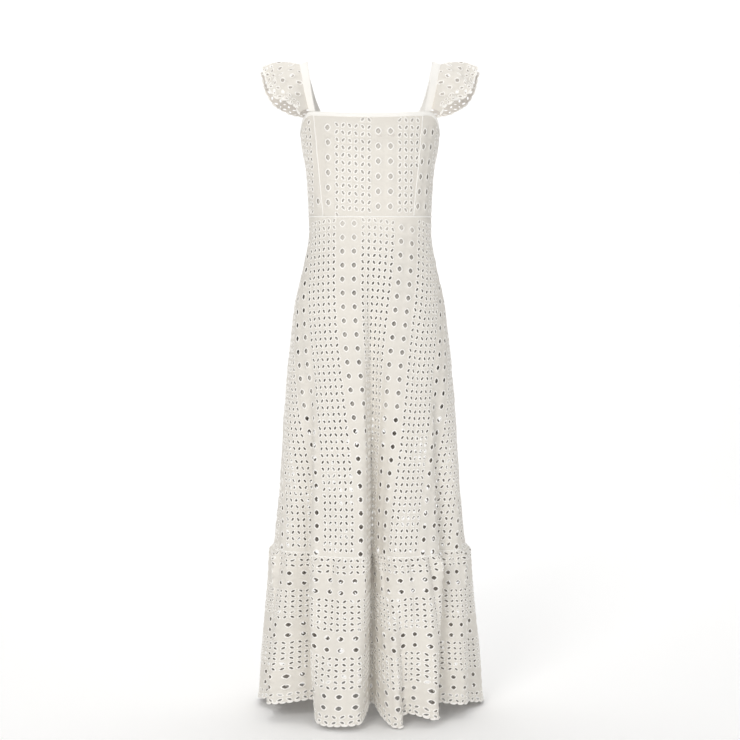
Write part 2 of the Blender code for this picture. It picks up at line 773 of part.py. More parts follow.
def ruffle_faces(t, share):
    here = ruffle_middle(t, share)
    dt, ds = 0.004, 0.02
    along = ruffle_middle(min(0.98, t + dt), share) - ruffle_middle(max(0.02, t - dt), share)
    away = ruffle_middle(t, min(1.0, share + ds)) - ruffle_middle(t, max(0.0, share - ds))
    normal = along.cross(away).normalized()
    return here + normal * RUFFLE_WALL / 2, here - normal * RUFFLE_WALL / 2


def straps_and_ruffles():
    for name, side in (("left", 1), ("right", -1)):
        lengthwise = [k / STRAP_STEPS for k in range(STRAP_STEPS + 1)]
        thick_sheet("strap_" + name, ribbon_cells(lengthwise, [-0.5, 0.5]), strap_faces, side, BAND)
        lengthwise = [0.02 + 0.96 * k / RUFFLE_STEPS for k in range(RUFFLE_STEPS + 1)]
        thick_sheet("ruffle_" + name, ribbon_cells(lengthwise, RUFFLE_ROWS), ruffle_faces, side, LACE)


def back_zip():
    """The closed lips of a concealed zip, between the back panels, with its slider at the top."""
    heights = [top_edge(CENTRE_BACK), SLIDER_TOP + 0.001, SLIDER_TOP, SLIDER_END, SLIDER_END - 0.001]
    heights += [-0.150, -0.181, -0.212, -0.243, -0.274, WAIST, -0.355, -0.417, ZIP_END + 0.0005]

    def place(across, height):
        proud = SLIDER_PROUD if SLIDER_END <= height <= SLIDER_TOP else ZIP_PROUD
        radius = float(lace_radius(CENTRE_BACK, height)) + proud
        return (-across * ZIP_HALF_WIDTH, radius, height)

    cloth_wall("back_zip", ribbon_cells([-1.0, 0.0, 1.0], heights), place, ZIP_WALL, ZIP, reach=0.5)


def main():
    for old in list(bpy.data.objects):
        bpy.data.objects.remove(old)
    in_bodice, along_top = bodice()
    cut = {"bodice": in_bodice, "skirt": skirt(), "flounce": flounce()}
    lining()
    bands(along_top)
    straps_and_ruffles()
    back_zip()
    print("eyelets cut through:", cut, sum(cut.values()))
    total = 0
    for made in bpy.context.scene.objects:
        made.data.calc_loop_triangles()
        total += len(made.data.loop_triangles)
        print(made.name, len(made.data.loop_triangles))
    print("triangles in all:", total)


main()
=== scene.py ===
# %% [markdown]
# # A long eyelet lace dress
# The dress is cut from one cotton cloth that is pierced all over with small embroidered holes.
# The CAD model gives its sewn pieces as plain shells. This lesson dresses them: each panel is
# laid out flat, pierced, trimmed to its pattern piece, and then put onto the shape of the dress.

import math

import bmesh
import bpy
import numpy as np
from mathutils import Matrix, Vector


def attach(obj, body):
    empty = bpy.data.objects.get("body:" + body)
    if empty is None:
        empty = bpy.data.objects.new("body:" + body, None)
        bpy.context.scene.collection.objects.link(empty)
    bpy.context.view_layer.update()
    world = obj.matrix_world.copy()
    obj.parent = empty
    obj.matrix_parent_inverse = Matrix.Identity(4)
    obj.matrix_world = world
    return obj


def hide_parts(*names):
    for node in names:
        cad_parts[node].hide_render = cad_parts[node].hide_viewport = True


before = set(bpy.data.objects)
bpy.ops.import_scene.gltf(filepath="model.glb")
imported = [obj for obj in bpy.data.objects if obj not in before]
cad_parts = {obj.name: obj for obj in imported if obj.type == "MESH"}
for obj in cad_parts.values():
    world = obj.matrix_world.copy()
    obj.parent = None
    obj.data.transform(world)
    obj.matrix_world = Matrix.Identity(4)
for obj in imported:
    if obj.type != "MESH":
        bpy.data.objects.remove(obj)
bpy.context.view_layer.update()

# %% [markdown]
# ## The shape that all the cloth follows
# A dress that hangs on a figure is a tube whose cross-section changes slowly with height, with
# long soft folds that dip inwards. It could be sculpted by hand or simulated. Tables are used
# instead, with the same numbers as the CAD model, so that the fine cloth lies exactly on the
# solids and every panel meets its neighbour along the seam.

# %% Heights and the size of a cell
WAIST = -0.327
FLOUNCE_SEAM = -1.034
HEM = -1.372
LINING_HEM = -0.746
BAND_DEPTH = 0.0085
CELL_ACROSS = 0.0125
CELL_ALONG = 0.0155
CELLS_IN_REPEAT = 10
EYELET_LINES = 4
print("waist, flounce seam and hem at", WAIST, FLOUNCE_SEAM, HEM)

# %% Sections of the body
SECTION_COLUMNS = ("height", "half_width", "front", "back")
SECTIONS = (
    (-0.060, 0.162, 0.084, 0.098),
    (-0.099, 0.158, 0.098, 0.106),
    (-0.146, 0.149, 0.117, 0.109),
    (-0.183, 0.145, 0.125, 0.107),
    (-0.226, 0.137, 0.119, 0.100),
    (-0.277, 0.133, 0.104, 0.090),
    (-0.327, 0.131, 0.098, 0.086),
    (-0.366, 0.131, 0.099, 0.089),
    (-0.432, 0.142, 0.105, 0.104),
    (-0.501, 0.158, 0.113, 0.120),
    (-0.570, 0.167, 0.120, 0.130),
    (-0.707, 0.180, 0.136, 0.144),
    (-0.845, 0.191, 0.151, 0.159),
    (-0.983, 0.204, 0.166, 0.174),
    (-1.034, 0.2095, 0.172, 0.180),
    (-1.155, 0.225, 0.188, 0.195),
    (-1.292, 0.240, 0.204, 0.210),
    (-1.372, 0.248, 0.213, 0.220),
    (-1.420, 0.254, 0.219, 0.226),
)
SQUARENESS = 2.3
print("sections:", len(SECTIONS))

# %% The upper edge
TOP_EDGE_COLUMNS = ("angle", "height")
TOP_EDGE = (
    (0, -0.1125),
    (30, -0.1110),
    (52, -0.1085),
    (64, -0.1095),
    (70, -0.1200),
    (76, -0.1340),
    (84, -0.1450),
    (96, -0.1490),
    (106, -0.1420),
    (113, -0.1280),
    (120, -0.1140),
    (128, -0.1115),
    (150, -0.1110),
    (180, -0.1110),
)
print("points on the upper edge:", len(TOP_EDGE))

# %% The folds
# Angles of each fold go round from centre front towards the wearer's left.
# Each row gives the angle high up, at the flounce seam and at the hem, the width before and after
# its line, the dip at the flounce seam and at the hem, and the height where the fold starts.
FOLDS = (
    (0, 1.5, 0, 0.0090, 0.031, 0.070, 0.095, -0.340),
    (-60, -48, -40.5, 0.030, 0.016, 0.036, 0.074, -0.560),
    (62, 55, 47.5, 0.016, 0.030, 0.034, 0.070, -0.560),
    (19, 20, 22.5, 0.010, 0.018, 0.000, 0.046, -1.034),
    (31, 32, 33, 0.014, 0.014, 0.002, 0.012, -0.960),
    (-84, -80, -76, 0.028, 0.028, 0.014, 0.036, -0.760),
    (86, 80, 74, 0.026, 0.026, 0.016, 0.040, -0.760),
    (118, 116, 113, 0.028, 0.028, 0.026, 0.062, -0.620),
    (-121, -117, -114, 0.030, 0.030, 0.028, 0.066, -0.640),
    (150, 152, 148, 0.024, 0.024, 0.024, 0.058, -0.700),
    (-152, -150, -146, 0.026, 0.026, 0.022, 0.054, -0.680),
    (179, 180, 182, 0.028, 0.028, 0.030, 0.070, -0.640),
)
FOLD_WIDENING = 0.35
print("folds:", len(FOLDS))

# %% Read a table smoothly
def column(table, names, name):
    return np.array([row[names.index(name)] for row in table], float)


def smooth_curve(at, xs, ys):
    """A smooth curve through the points of a table."""
    if xs[0] > xs[-1]:
        xs, ys = xs[::-1], ys[::-1]
    slopes = np.gradient(ys, xs)
    at = np.clip(at, xs[0], xs[-1])
    i = np.clip(np.searchsorted(xs, at) - 1, 0, len(xs) - 2)
    step = xs[i + 1] - xs[i]
    t = (at - xs[i]) / step
    start = (1 + 2 * t) * (1 - t) ** 2 * ys[i] + t * (1 - t) ** 2 * step * slopes[i]
    end = t * t * (3 - 2 * t) * ys[i + 1] + t * t * (t - 1) * step * slopes[i + 1]
    return start + end


def read_table(at, table, names, name):
    """Read one column of a table smoothly against its first column."""
    return smooth_curve(at, column(table, names, names[0]), column(table, names, name))


def ease(t):
    t = np.clip(t, 0.0, 1.0)
    return t * t * (3 - 2 * t)

# %% The radius of the lace
def outline(height, name):
    return read_table(height, SECTIONS, SECTION_COLUMNS, name)


def body_radius(angle, height):
    across = np.abs(np.sin(angle)) / outline(height, "half_width")
    reach = np.where(np.cos(angle) > 0, outline(height, "front"), outline(height, "back"))
    along = np.abs(np.cos(angle)) / reach
    return (across**SQUARENESS + along**SQUARENESS) ** (-1 / SQUARENESS)


def fold_dip(angle, height, radius):
    to_seam = (WAIST - height) / (WAIST - FLOUNCE_SEAM)
    to_hem = np.clip((FLOUNCE_SEAM - height) / (FLOUNCE_SEAM - HEM), 0.0, 1.1)
    dip = np.zeros(np.broadcast(angle, height).shape)
    for high, seam, hem, before, after, dip_seam, dip_hem, starts in FOLDS:
        upper = high + (seam - high) * np.clip(to_seam, 0, 1)
        line = np.radians(upper + (hem - seam) * to_hem)
        away = (angle - line + math.pi) % (2 * math.pi) - math.pi
        width = np.where(away < 0, before, after) * (1 + FOLD_WIDENING * to_hem)
        growth = ease((starts - height) / (starts - FLOUNCE_SEAM)) if starts > FLOUNCE_SEAM else 1.0
        depth = dip_seam * growth + (dip_hem - dip_seam) * to_hem
        dip = dip + depth * np.exp(-((away * radius / width) ** 2))
    return dip


def lace_radius(angle, height):
    radius = body_radius(angle, height)
    return radius - fold_dip(angle, height, radius)


def on_ring(angle, radius, height):
    return np.stack([radius * np.sin(angle), -radius * np.cos(angle), height + 0 * angle], axis=-1)


def top_edge(angle):
    turned = np.abs((np.degrees(angle) + 180) % 360 - 180)
    return read_table(turned, TOP_EDGE, TOP_EDGE_COLUMNS, "height")


def line_length(points):
    return float(np.linalg.norm(np.diff(points, axis=0), axis=1).sum())


BUST = -0.170
half_turn = np.linspace(0, math.pi, 400)
half_bust = line_length(on_ring(half_turn, lace_radius(half_turn, BUST), BUST))
print("bust girth:", round(2 * half_bust, 3), "m")

# %% [markdown]
# ## Measuring along the cloth
# Holes keep their size over a fold because cloth bends but hardly stretches. So each place on a
# panel is named by its distance along the cloth from centre front or centre back. A ring of
# points at each height gives that distance for every angle, and reading the ring backwards gives
# the angle for every distance. Both are kept as tables, because they are read for a great many
# points.

# %% Tables of angle by distance along the cloth
CENTRE_FRONT = 0.0
CENTRE_BACK = math.pi
SIDE = math.pi / 2
RING_HEIGHTS = np.arange(-1.430, -0.056, 0.003)
RING_DISTANCES = np.arange(-0.62, 0.6201, 0.0025)


def measure_rings(start):
    turns = np.linspace(-math.pi, math.pi, 1801) + start
    middle = len(turns) // 2
    angles = np.empty((len(RING_HEIGHTS), len(RING_DISTANCES)))
    sides = np.empty((len(RING_HEIGHTS), 2))
    for k, height in enumerate(RING_HEIGHTS):
        ring = on_ring(turns, lace_radius(turns, height), height)
        steps = np.hypot(*np.diff(ring[:, :2], axis=0).T)
        along = np.concatenate([[0.0], np.cumsum(steps)])
        along -= along[middle]
        angles[k] = np.interp(RING_DISTANCES, along, turns)
        sides[k] = np.interp([start - SIDE, start + SIDE], turns, along)
    return angles, sides


RINGS = {start: measure_rings(start) for start in (CENTRE_FRONT, CENTRE_BACK)}
print("heights in each table:", len(RING_HEIGHTS))

# %% Read the tables both ways
def angle_at(distance, height, start):
    angles = RINGS[start][0]
    x = (distance - RING_DISTANCES[0]) / (RING_DISTANCES[1] - RING_DISTANCES[0])
    y = (height - RING_HEIGHTS[0]) / (RING_HEIGHTS[1] - RING_HEIGHTS[0])
    x = np.clip(x, 0, len(RING_DISTANCES) - 1.001)
    y = np.clip(y, 0, len(RING_HEIGHTS) - 1.001)
    i, j = x.astype(int), y.astype(int)
    fx, fy = x - i, y - j
    low = angles[j, i] * (1 - fx) + angles[j, i + 1] * fx
    high = angles[j + 1, i] * (1 - fx) + angles[j + 1, i + 1] * fx
    return low * (1 - fy) + high * fy


def distance_at(angle, height, start):
    """Distance along the cloth to an angle, by reading the ring of angles backwards."""
    found = np.empty(np.shape(height))
    for k, (one_angle, one_height) in enumerate(zip(np.broadcast_to(angle, found.shape), height)):
        row = angle_at(RING_DISTANCES, np.full(len(RING_DISTANCES), one_height), start)
        found[k] = np.interp(one_angle, row, RING_DISTANCES)
    return found


def side_seam(height, start, side):
    return np.interp(height, RING_HEIGHTS, RINGS[start][1][:, 0 if side < 0 else 1])


print("half girth at the waist, seam and hem:", [
    round(float(side_seam(h, CENTRE_FRONT, 1) - side_seam(h, CENTRE_FRONT, -1)), 3)
    for h in (WAIST, FLOUNCE_SEAM, HEM)
])

# %% [markdown]
# ## Small unevenness
# Real cotton is never as smooth as a table. Two kinds of unevenness are added to all the cloth: long
# shallow ripples that run down the skirt, and little pulls across the bust where the bodice is
# tight. They could be a noise modifier, but a table of random numbers that wraps round the body
# gives the same value on both sides of every seam.

# %% A wrapped table of soft ripples
NOISE_DEPTH = 1.45


def soft_noise(seed, across, down):
    random = np.random.default_rng(seed)
    grid = random.normal(size=(down, across))
    grid = (grid + np.roll(grid, 1, 0) + np.roll(grid, 1, 1)) / 1.8

    def read(angle, height):
        x = (angle / (2 * math.pi) % 1.0) * across
        y = np.clip((height + NOISE_DEPTH) / NOISE_DEPTH, 0, 0.999) * (down - 1)
        i, j = np.floor(x).astype(int), np.floor(y).astype(int)
        fx, fy = ease(x - i), ease(y - j)
        i, i2, j2 = i % across, (i + 1) % across, np.minimum(j + 1, down - 1)
        low = grid[j, i] * (1 - fx) + grid[j, i2] * fx
        high = grid[j2, i] * (1 - fx) + grid[j2, i2] * fx
        return low * (1 - fy) + high * fy

    return read

# %% The ripples and pulls of this dress
long_ripples = soft_noise(11, 34, 7)
fine_ripples = soft_noise(23, 90, 60)
# Each pull across the front has a height, a depth and how far it spreads up and down.
PULLS = (
    (-0.125, 0.0020, 0.0038),
    (-0.152, 0.0032, 0.0040),
    (-0.1625, 0.0028, 0.0036),
    (-0.171, 0.0012, 0.0040),
    (-0.300, 0.0016, 0.0060),
)


def unevenness(angle, height):
    """How far the cloth stands out from the smooth shape, in metres."""
    below = ease((WAIST - height) / 0.25)
    out = 0.0016 * below * long_ripples(angle, height)
    out = out + (0.0002 + 0.0004 * below) * fine_ripples(angle, height)
    front = np.exp(-((np.sin(angle / 2) / 0.42) ** 4))
    for at, depth, spread in PULLS:
        sag = at - 0.010 * np.cos(angle) + 0.004 * np.sin(3 * angle)
        out = out - depth * front * np.exp(-(((height - sag) / spread) ** 2))
    return out


def cloth_radius(angle, height):
    return lace_radius(angle, height) + unevenness(angle, height)


def lace_surface(distance, height, start):
    angle = angle_at(distance, height, start)
    return on_ring(angle, cloth_radius(angle, height), height)


knee_ripple = float(unevenness(np.array(0.0), np.array(-0.7)))
print("ripple at centre front, knee height:", round(knee_ripple * 1000, 2), "mm")

# %% [markdown]
# ## Finishes
# All the cloth is cotton, and what tells one part from another is how the light meets it: the
# ground of the lace is matt with a fine weave, the embroidery round each hole is denser, whiter
# and a little silky, and the lining is a thin plain cloth. A picture could give the weave, but
# nodes are used instead, so that the detail stays sharp at any distance. The lace carries an
# attribute that is 1 on embroidery and 0 on the ground, and another that is 1 on its wrong side.
# The wrong side gets a darker colour than the front. That is painted shade, for the shaded inside of the
# dress seen through the holes.

# %% Helpers that add nodes
def wire(tree, value, socket):
    """Link a socket to another one, or set a plain value on it."""
    if isinstance(value, bpy.types.NodeSocket):
        tree.links.new(value, socket)
    else:
        socket.default_value = value


def add(tree, kind, label, inputs=None, **settings):
    node = tree.nodes.new(kind)
    node.label = label
    for name, value in settings.items():
        setattr(node, name, value)
    for name, value in (inputs or {}).items():
        wire(tree, value, node.inputs[name])
    return node


def maths(tree, operation, first, second):
    label = operation.lower().replace("_", " ")
    return add(tree, "ShaderNodeMath", label, {0: first, 1: second}, operation=operation).outputs[0]


def mix_colours(tree, label, factor, first, second):
    inputs = {0: factor, 6: first, 7: second}
    return add(tree, "ShaderNodeMix", label, inputs, data_type="RGBA", clamp_factor=True).outputs[2]


def value_range(tree, label, value, low, high, to_low, to_high):
    inputs = {"Value": value, "From Min": low, "From Max": high, "To Min": to_low, "To Max": to_high}
    return add(tree, "ShaderNodeMapRange", label, inputs, clamp=True).outputs["Result"]


def noise(tree, label, vector, scale, detail):
    inputs = {"Vector": vector, "Scale": scale, "Detail": detail}
    return add(tree, "ShaderNodeTexNoise", label, inputs).outputs["Fac"]


# %% Plain cotton
UV_METRES = 2.0


def start_material(name, roughness, sheen):
    made = bpy.data.materials.new(name)
    made.use_nodes = True
    shader = made.node_tree.nodes["Principled BSDF"]
    values = {
        "Roughness": roughness, "Sheen Weight": sheen, "Sheen Roughness": 0.5,
        "Specular IOR Level": 0.25,
    }
    for label, value in values.items():
        shader.inputs[label].default_value = value
    return made, made.node_tree, shader


def weave_height(tree, vector, threads_per_metre):
    """Crossed threads, as the product of two waves, from 0 to 1."""
    inputs = {
        "Vector": vector, "Scale": threads_per_metre * UV_METRES * 2 * math.pi / 20,
        "Distortion": 0.6, "Detail": 1.0, "Detail Scale": 2.0,
    }
    heights = []
    for direction, label in (("X", "warp threads"), ("Y", "weft threads")):
        wave = add(tree, "ShaderNodeTexWave", label, inputs, wave_type="BANDS", bands_direction=direction)
        heights.append(wave.outputs["Fac"])
    return maths(tree, "MULTIPLY", *heights)


def cotton(name, ground, shade, roughness=0.86, sheen=0.10, threads=1500):
    made, tree, shader = start_material(name, roughness, sheen)
    place = add(tree, "ShaderNodeTexCoord", "place on the dress").outputs["Object"]
    broad = noise(tree, "uneven bleaching", place, 9.0, 3.0)
    bleaching = value_range(tree, "bleaching range", broad, 0.35, 0.7, 0, 1)
    colour = mix_colours(tree, "cloth colour", bleaching, ground, shade)
    tree.links.new(colour, shader.inputs["Base Color"])
    cloth_uv = add(tree, "ShaderNodeUVMap", "cloth coordinates", uv_map="cloth").outputs["UV"]
    slubs = noise(tree, "slubs in the yarn", place, 900.0, 2.0)
    height = maths(tree, "ADD", weave_height(tree, cloth_uv, threads), slubs)
    inputs = {"Strength": 0.30, "Distance": 0.00015, "Height": height}
    relief = add(tree, "ShaderNodeBump", "surface relief", inputs)
    tree.links.new(relief.outputs["Normal"], shader.inputs["Normal"])
    return made

# %% The material of the lace
def attribute(tree, name):
    node = add(tree, "ShaderNodeAttribute", name, attribute_type="GEOMETRY", attribute_name=name)
    return node.outputs["Fac"]


def eyelet_cotton(name, ground, shade, thread, wrong_side_painted_shade):
    made = cotton(name, ground, shade)
    tree = made.node_tree
    shader = tree.nodes["Principled BSDF"]
    cloth = shader.inputs["Base Color"].links[0].from_socket
    embroidery = attribute(tree, "embroidery")
    # On the wrong side a darker colour is mixed in. It is painted shade, standing in for the shaded
    # inside of the dress seen through the holes.
    inside = attribute(tree, "wrong_side_painted_shade")
    with_thread = mix_colours(tree, "embroidery thread", embroidery, cloth, thread)
    with_painted_shade = mix_colours(tree, "wrong side", inside, with_thread, wrong_side_painted_shade)
    tree.links.new(with_painted_shade, shader.inputs["Base Color"])
    satin = value_range(tree, "satin stitch roughness", embroidery, 0, 1, 0.88, 0.55)
    tree.links.new(satin, shader.inputs["Roughness"])
    return made

# %% The colours of the cottons
LACE_GROUND = (0.780, 0.745, 0.685, 1)
LACE_SHADE = (0.740, 0.710, 0.655, 1)
THREAD = (0.970, 0.950, 0.910, 1)
# The wrong side of the lace is the same cotton as the front. Its darker colour here is painted shade, for
# the shaded inside of the dress seen through the holes.
WRONG_SIDE_PAINTED_SHADE = (0.700, 0.660, 0.610, 1)
eyelet_white = eyelet_cotton("eyelet_cotton", LACE_GROUND, LACE_SHADE, THREAD, WRONG_SIDE_PAINTED_SHADE)
lining_white = cotton("lining_cotton", (0.70, 0.67, 0.62, 1), (0.66, 0.63, 0.585, 1), 0.9, 0.05, 2200)
band_white = cotton("band_cotton", (0.93, 0.915, 0.88, 1), (0.90, 0.885, 0.85, 1), 0.8, 0.12)
thread_white = cotton("sewing_thread", (0.93, 0.91, 0.87, 1), (0.90, 0.88, 0.84, 1), 0.6, 0.2, 4000)
COTTONS = (eyelet_white, lining_white, band_white, thread_white)
print("cotton materials:", [m.name for m in COTTONS])

# %% [markdown]
# ## One cell of the lace
# Seen close, the lace is a grid of small cells. Six lines of cells hold a leaf-shaped hole that
# leans left and right by turns, and then come two lines of larger round eyelets, each over two
# cells by two. Round each hole lies a raised rim of satin stitch. The holes could be cut with
# booleans, but that is slow for thousands of them. So a cell is built as a stack of rings from its
# border in to the hole and out again on the wrong side, which gives the cloth a real thickness. It
# has only a few dozen faces, because it is repeated thousands of times.

# %% Helpers that make meshes
def new_mesh(name, points, faces, edges=()):
    mesh = bpy.data.meshes.new(name)
    mesh.from_pydata(points, list(edges), faces)
    return mesh


def new_object(name, data):
    made = bpy.data.objects.new(name, data)
    bpy.context.scene.collection.objects.link(made)
    return made


def store(mesh, name, values):
    layer = mesh.attributes.new(name, "FLOAT", "POINT")
    layer.data.foreach_set("value", np.asarray(values, np.float32))


def grid_faces(rows, columns, first=0, wrap=False):
    faces = []
    for i in range(rows - 1):
        for j in range(columns if wrap else columns - 1):
            a, b = first + i * columns + j, first + i * columns + (j + 1) % columns
            faces.append((a, b, b + columns, a + columns))
    return faces


# %% Outlines of a cell and its hole
CLOTH_THICKNESS = 0.0008
RIM_HEIGHT = 0.00085
LEAF_LENGTH = 0.0083
LEAF_WIDTH = 0.0042
LEAF_TILT = math.radians(31)
EYELET_RADIUS = 0.0046
EYELET_POWER = 1.45
EYELET_STRETCH = 1.22


def border(width, height, centre, across, along):
    """Points round a rectangle's edge, from the middle of its top side, clockwise."""
    steps = []
    steps += [(x, height / 2) for x in np.linspace(0, width / 2, across // 2 + 1)]
    steps += [(width / 2, y) for y in np.linspace(height / 2, -height / 2, along + 1)[1:]]
    steps += [(x, -height / 2) for x in np.linspace(width / 2, -width / 2, across + 1)[1:]]
    steps += [(-width / 2, y) for y in np.linspace(-height / 2, height / 2, along + 1)[1:]]
    steps += [(x, height / 2) for x in np.linspace(-width / 2, 0, across // 2 + 1)[1:-1]]
    return [(centre[0] + x, centre[1] + y) for x, y in steps]


def leaf(grow, tilt, count):
    ring = []
    for k in range(count):
        t = 2 * math.pi * k / count
        bulge = math.copysign(abs(math.sin(t)) ** 1.25, math.sin(t))
        x = (LEAF_WIDTH / 2 + grow) * bulge
        y = (LEAF_LENGTH / 2 + grow * 1.1) * math.cos(t)
        ring.append((x * math.cos(tilt) + y * math.sin(tilt), y * math.cos(tilt) - x * math.sin(tilt)))
    return ring


def round_eyelet(grow, centre, count):
    ring = []
    for k in range(count):
        t = 2 * math.pi * k / count
        corners = abs(math.sin(t)) ** EYELET_POWER + abs(math.cos(t)) ** EYELET_POWER
        radius = EYELET_RADIUS * corners ** (-1 / EYELET_POWER) + grow
        x, y = radius * math.sin(t), EYELET_STRETCH * radius * math.cos(t)
        ring.append((centre[0] + x, centre[1] + y))
    return ring

# %% One tile
def tile(name, edge, hole):
    """A cell of cloth. hole(grow) gives the outline of its hole, made larger by grow."""
    count = len(edge)
    back = -CLOTH_THICKNESS
    if hole is None:
        rings = [(edge, 0.0, 0, 0), (edge, back, 0, 1)]
    else:
        rings = [
            (edge, 0.0, 0, 0),
            (hole(0.0027), 0.0, 0.05, 0),
            (hole(0.0019), RIM_HEIGHT * 0.8, 1, 0),
            (hole(0.0007), RIM_HEIGHT, 1, 0),
            (hole(0.0), 0.0, 1, 0),
            (hole(0.0002), back, 0.3, 1),
            (edge, back, 0, 1),
        ]
    points = [(x, y, z) for ring, z, _, _ in rings for x, y in ring]
    faces = grid_faces(len(rings), count, wrap=True)
    if hole is None:
        faces = [tuple(range(count - 1, -1, -1)), tuple(range(count, 2 * count))]
    mesh = new_mesh(name, points, faces)
    # The second mask marks the wrong side, which the material paints darker as painted shade.
    for label, slot in (("embroidery", 2), ("wrong_side_painted_shade", 3)):
        store(mesh, label, [ring[slot] for ring in rings for _ in range(count)])
    return new_object(name, mesh)

# %% The four tiles
cell_edge = border(CELL_ACROSS, CELL_ALONG, (0, 0), 2, 2)
block_middle = (CELL_ACROSS / 2, CELL_ALONG / 2)
block_edge = border(2 * CELL_ACROSS, 2 * CELL_ALONG, block_middle, 4, 4)
TILES = {
    "Leaf left": tile("tile_leaf_left", cell_edge, lambda grow: leaf(grow, -LEAF_TILT, 8)),
    "Leaf right": tile("tile_leaf_right", cell_edge, lambda grow: leaf(grow, LEAF_TILT, 8)),
    "Eyelet": tile("tile_eyelet", block_edge, lambda grow: round_eyelet(grow, block_middle, 16)),
    "Plain": tile("tile_plain", cell_edge, None),
}
print("faces in each tile:", {name: len(t.data.polygons) for name, t in TILES.items()})

# %% [markdown]
# ## Geometry Nodes lay the lace out
# The pattern repeats by a rule, so Geometry Nodes place it. A script could copy the cells one by
# one, but nodes do it at once and keep the rule in view. The input is one point for each cell,
# which carries its column, its row, and how much room its hole has before the edge of the
# pattern piece. The tree works out what each cell holds from its column and row. A hole that
# would be cut by a seam is left plain, as a careful maker would leave it.

# %% Start a tree
LEAF_ROOM = 0.0045
EYELET_ROOM = 0.0070


def new_tree(name, inputs, output):
    """Start a Geometry Nodes tree. Each input has a name, a kind of socket and perhaps a value."""
    tree = bpy.data.node_groups.new(name, "GeometryNodeTree")
    for label, kind, value in inputs:
        socket = tree.interface.new_socket(label, in_out="INPUT", socket_type="NodeSocket" + kind)
        if value is not None:
            socket.default_value = value
    tree.interface.new_socket(output, in_out="OUTPUT", socket_type="NodeSocketGeometry")
    return tree, add(tree, "NodeGroupInput", "inputs"), add(tree, "NodeGroupOutput", "output")

# %% The tree that fills a panel with lace
def lace_tree():
    inputs = [("Cells", "Geometry", None)]
    inputs += [(name, "Object", None) for name in TILES]
    inputs += [
        ("Material", "Material", None),
        ("Cells in repeat", "Float", float(CELLS_IN_REPEAT)),
        ("Eyelet lines", "Float", float(EYELET_LINES)),
        ("Leaf room", "Float", LEAF_ROOM),
        ("Eyelet room", "Float", EYELET_ROOM),
    ]
    tree, start, end = new_tree("Lay out eyelet lace", inputs, "Lace")

    def read(name):
        node = add(tree, "GeometryNodeInputNamedAttribute", name, {"Name": name}, data_type="FLOAT")
        return node.outputs["Attribute"]

    def work_out(operation, first, second):
        return maths(tree, operation, first, second)

    next_column = work_out("ADD", read("column"), 1.0)
    cell = work_out("FLOORED_MODULO", next_column, start.outputs["Cells in repeat"])
    row = read("row")
    in_eyelets = work_out("LESS_THAN", cell, work_out("SUBTRACT", start.outputs["Eyelet lines"], 0.5))
    in_leaves = work_out("SUBTRACT", 1.0, in_eyelets)
    leans = work_out("FLOORED_MODULO", work_out("ADD", cell, row), 2.0)
    leaf_fits = work_out("GREATER_THAN", read("room"), start.outputs["Leaf room"])
    eyelet_fits = work_out("GREATER_THAN", read("room"), start.outputs["Eyelet room"])
    has_leaf = work_out("MULTIPLY", in_leaves, leaf_fits)
    has_eyelet = work_out("MULTIPLY", in_eyelets, eyelet_fits)
    first_cell = work_out("LESS_THAN", work_out("FLOORED_MODULO", cell, 2.0), 0.5)
    first_row = work_out("LESS_THAN", work_out("FLOORED_MODULO", work_out("ADD", row, 1.0), 2.0), 0.5)
    choices = {
        "Leaf left": work_out("MULTIPLY", has_leaf, work_out("LESS_THAN", leans, 0.5)),
        "Leaf right": work_out("MULTIPLY", has_leaf, work_out("GREATER_THAN", leans, 0.5)),
        "Eyelet": work_out("MULTIPLY", has_eyelet, work_out("MULTIPLY", first_cell, first_row)),
        "Plain": work_out("SUBTRACT", 1.0, work_out("ADD", has_leaf, has_eyelet)),
    }
    joined = add(tree, "GeometryNodeJoinGeometry", "all cells")
    for name, chosen in choices.items():
        tile_object = start.outputs[name]
        info = add(
            tree, "GeometryNodeObjectInfo", name + " tile", {"Object": tile_object, "As Instance": True}
        )
        placed = add(tree, "GeometryNodeInstanceOnPoints", "place " + name, {
            "Points": start.outputs["Cells"],
            "Selection": work_out("GREATER_THAN", chosen, 0.5),
            "Instance": info.outputs["Geometry"],
        })
        tree.links.new(placed.outputs["Instances"], joined.inputs["Geometry"])
    real = add(tree, "GeometryNodeRealizeInstances", "real cloth", {0: joined.outputs[0]})
    sewn = add(
        tree, "GeometryNodeMergeByDistance", "join cell edges",
        {"Geometry": real.outputs[0], "Distance": 0.00005},
    )
    finish = add(
        tree, "GeometryNodeSetMaterial", "finish",
        {"Geometry": sewn.outputs[0], "Material": start.outputs["Material"]},
    )
    tree.links.new(finish.outputs["Geometry"], end.inputs["Lace"])
    return tree


LACE_TREE = lace_tree()
print("nodes in the lace tree:", len(LACE_TREE.nodes))

# %% Run a tree on an object
def run_tree(made, tree, values):
    """Run a Geometry Nodes tree on an object and return the result as a plain mesh."""
    modifier = made.modifiers.new(tree.name, "NODES")
    modifier.node_group = tree
    for item in tree.interface.items_tree:
        if item.item_type == "SOCKET" and item.in_out == "INPUT" and item.name in values:
            modifier[item.identifier] = values[item.name]
    made.update_tag()
    graph = bpy.context.evaluated_depsgraph_get()
    graph.update()
    mesh = bpy.data.meshes.new_from_object(made.evaluated_get(graph), depsgraph=graph)
    made.modifiers.remove(modifier)
    return mesh


# %% [markdown]
# ## Trimming and draping a panel
# A pattern piece is described by four edges: where it starts and ends across, and where it starts
# and ends along. Cloth outside them is pulled onto the edge, which trims it without a ragged
# border and closes the two faces of the cloth there. A boolean could cut the panels out, but it
# leaves slivers where it meets a hole. Then every point is carried from the flat piece to its
# place on the dress, and out along the surface by its height in the stitches.

# %% A pattern piece and its edges
EDGE_SNAP = 0.0012


def as_cut(a, b):
    return a, b


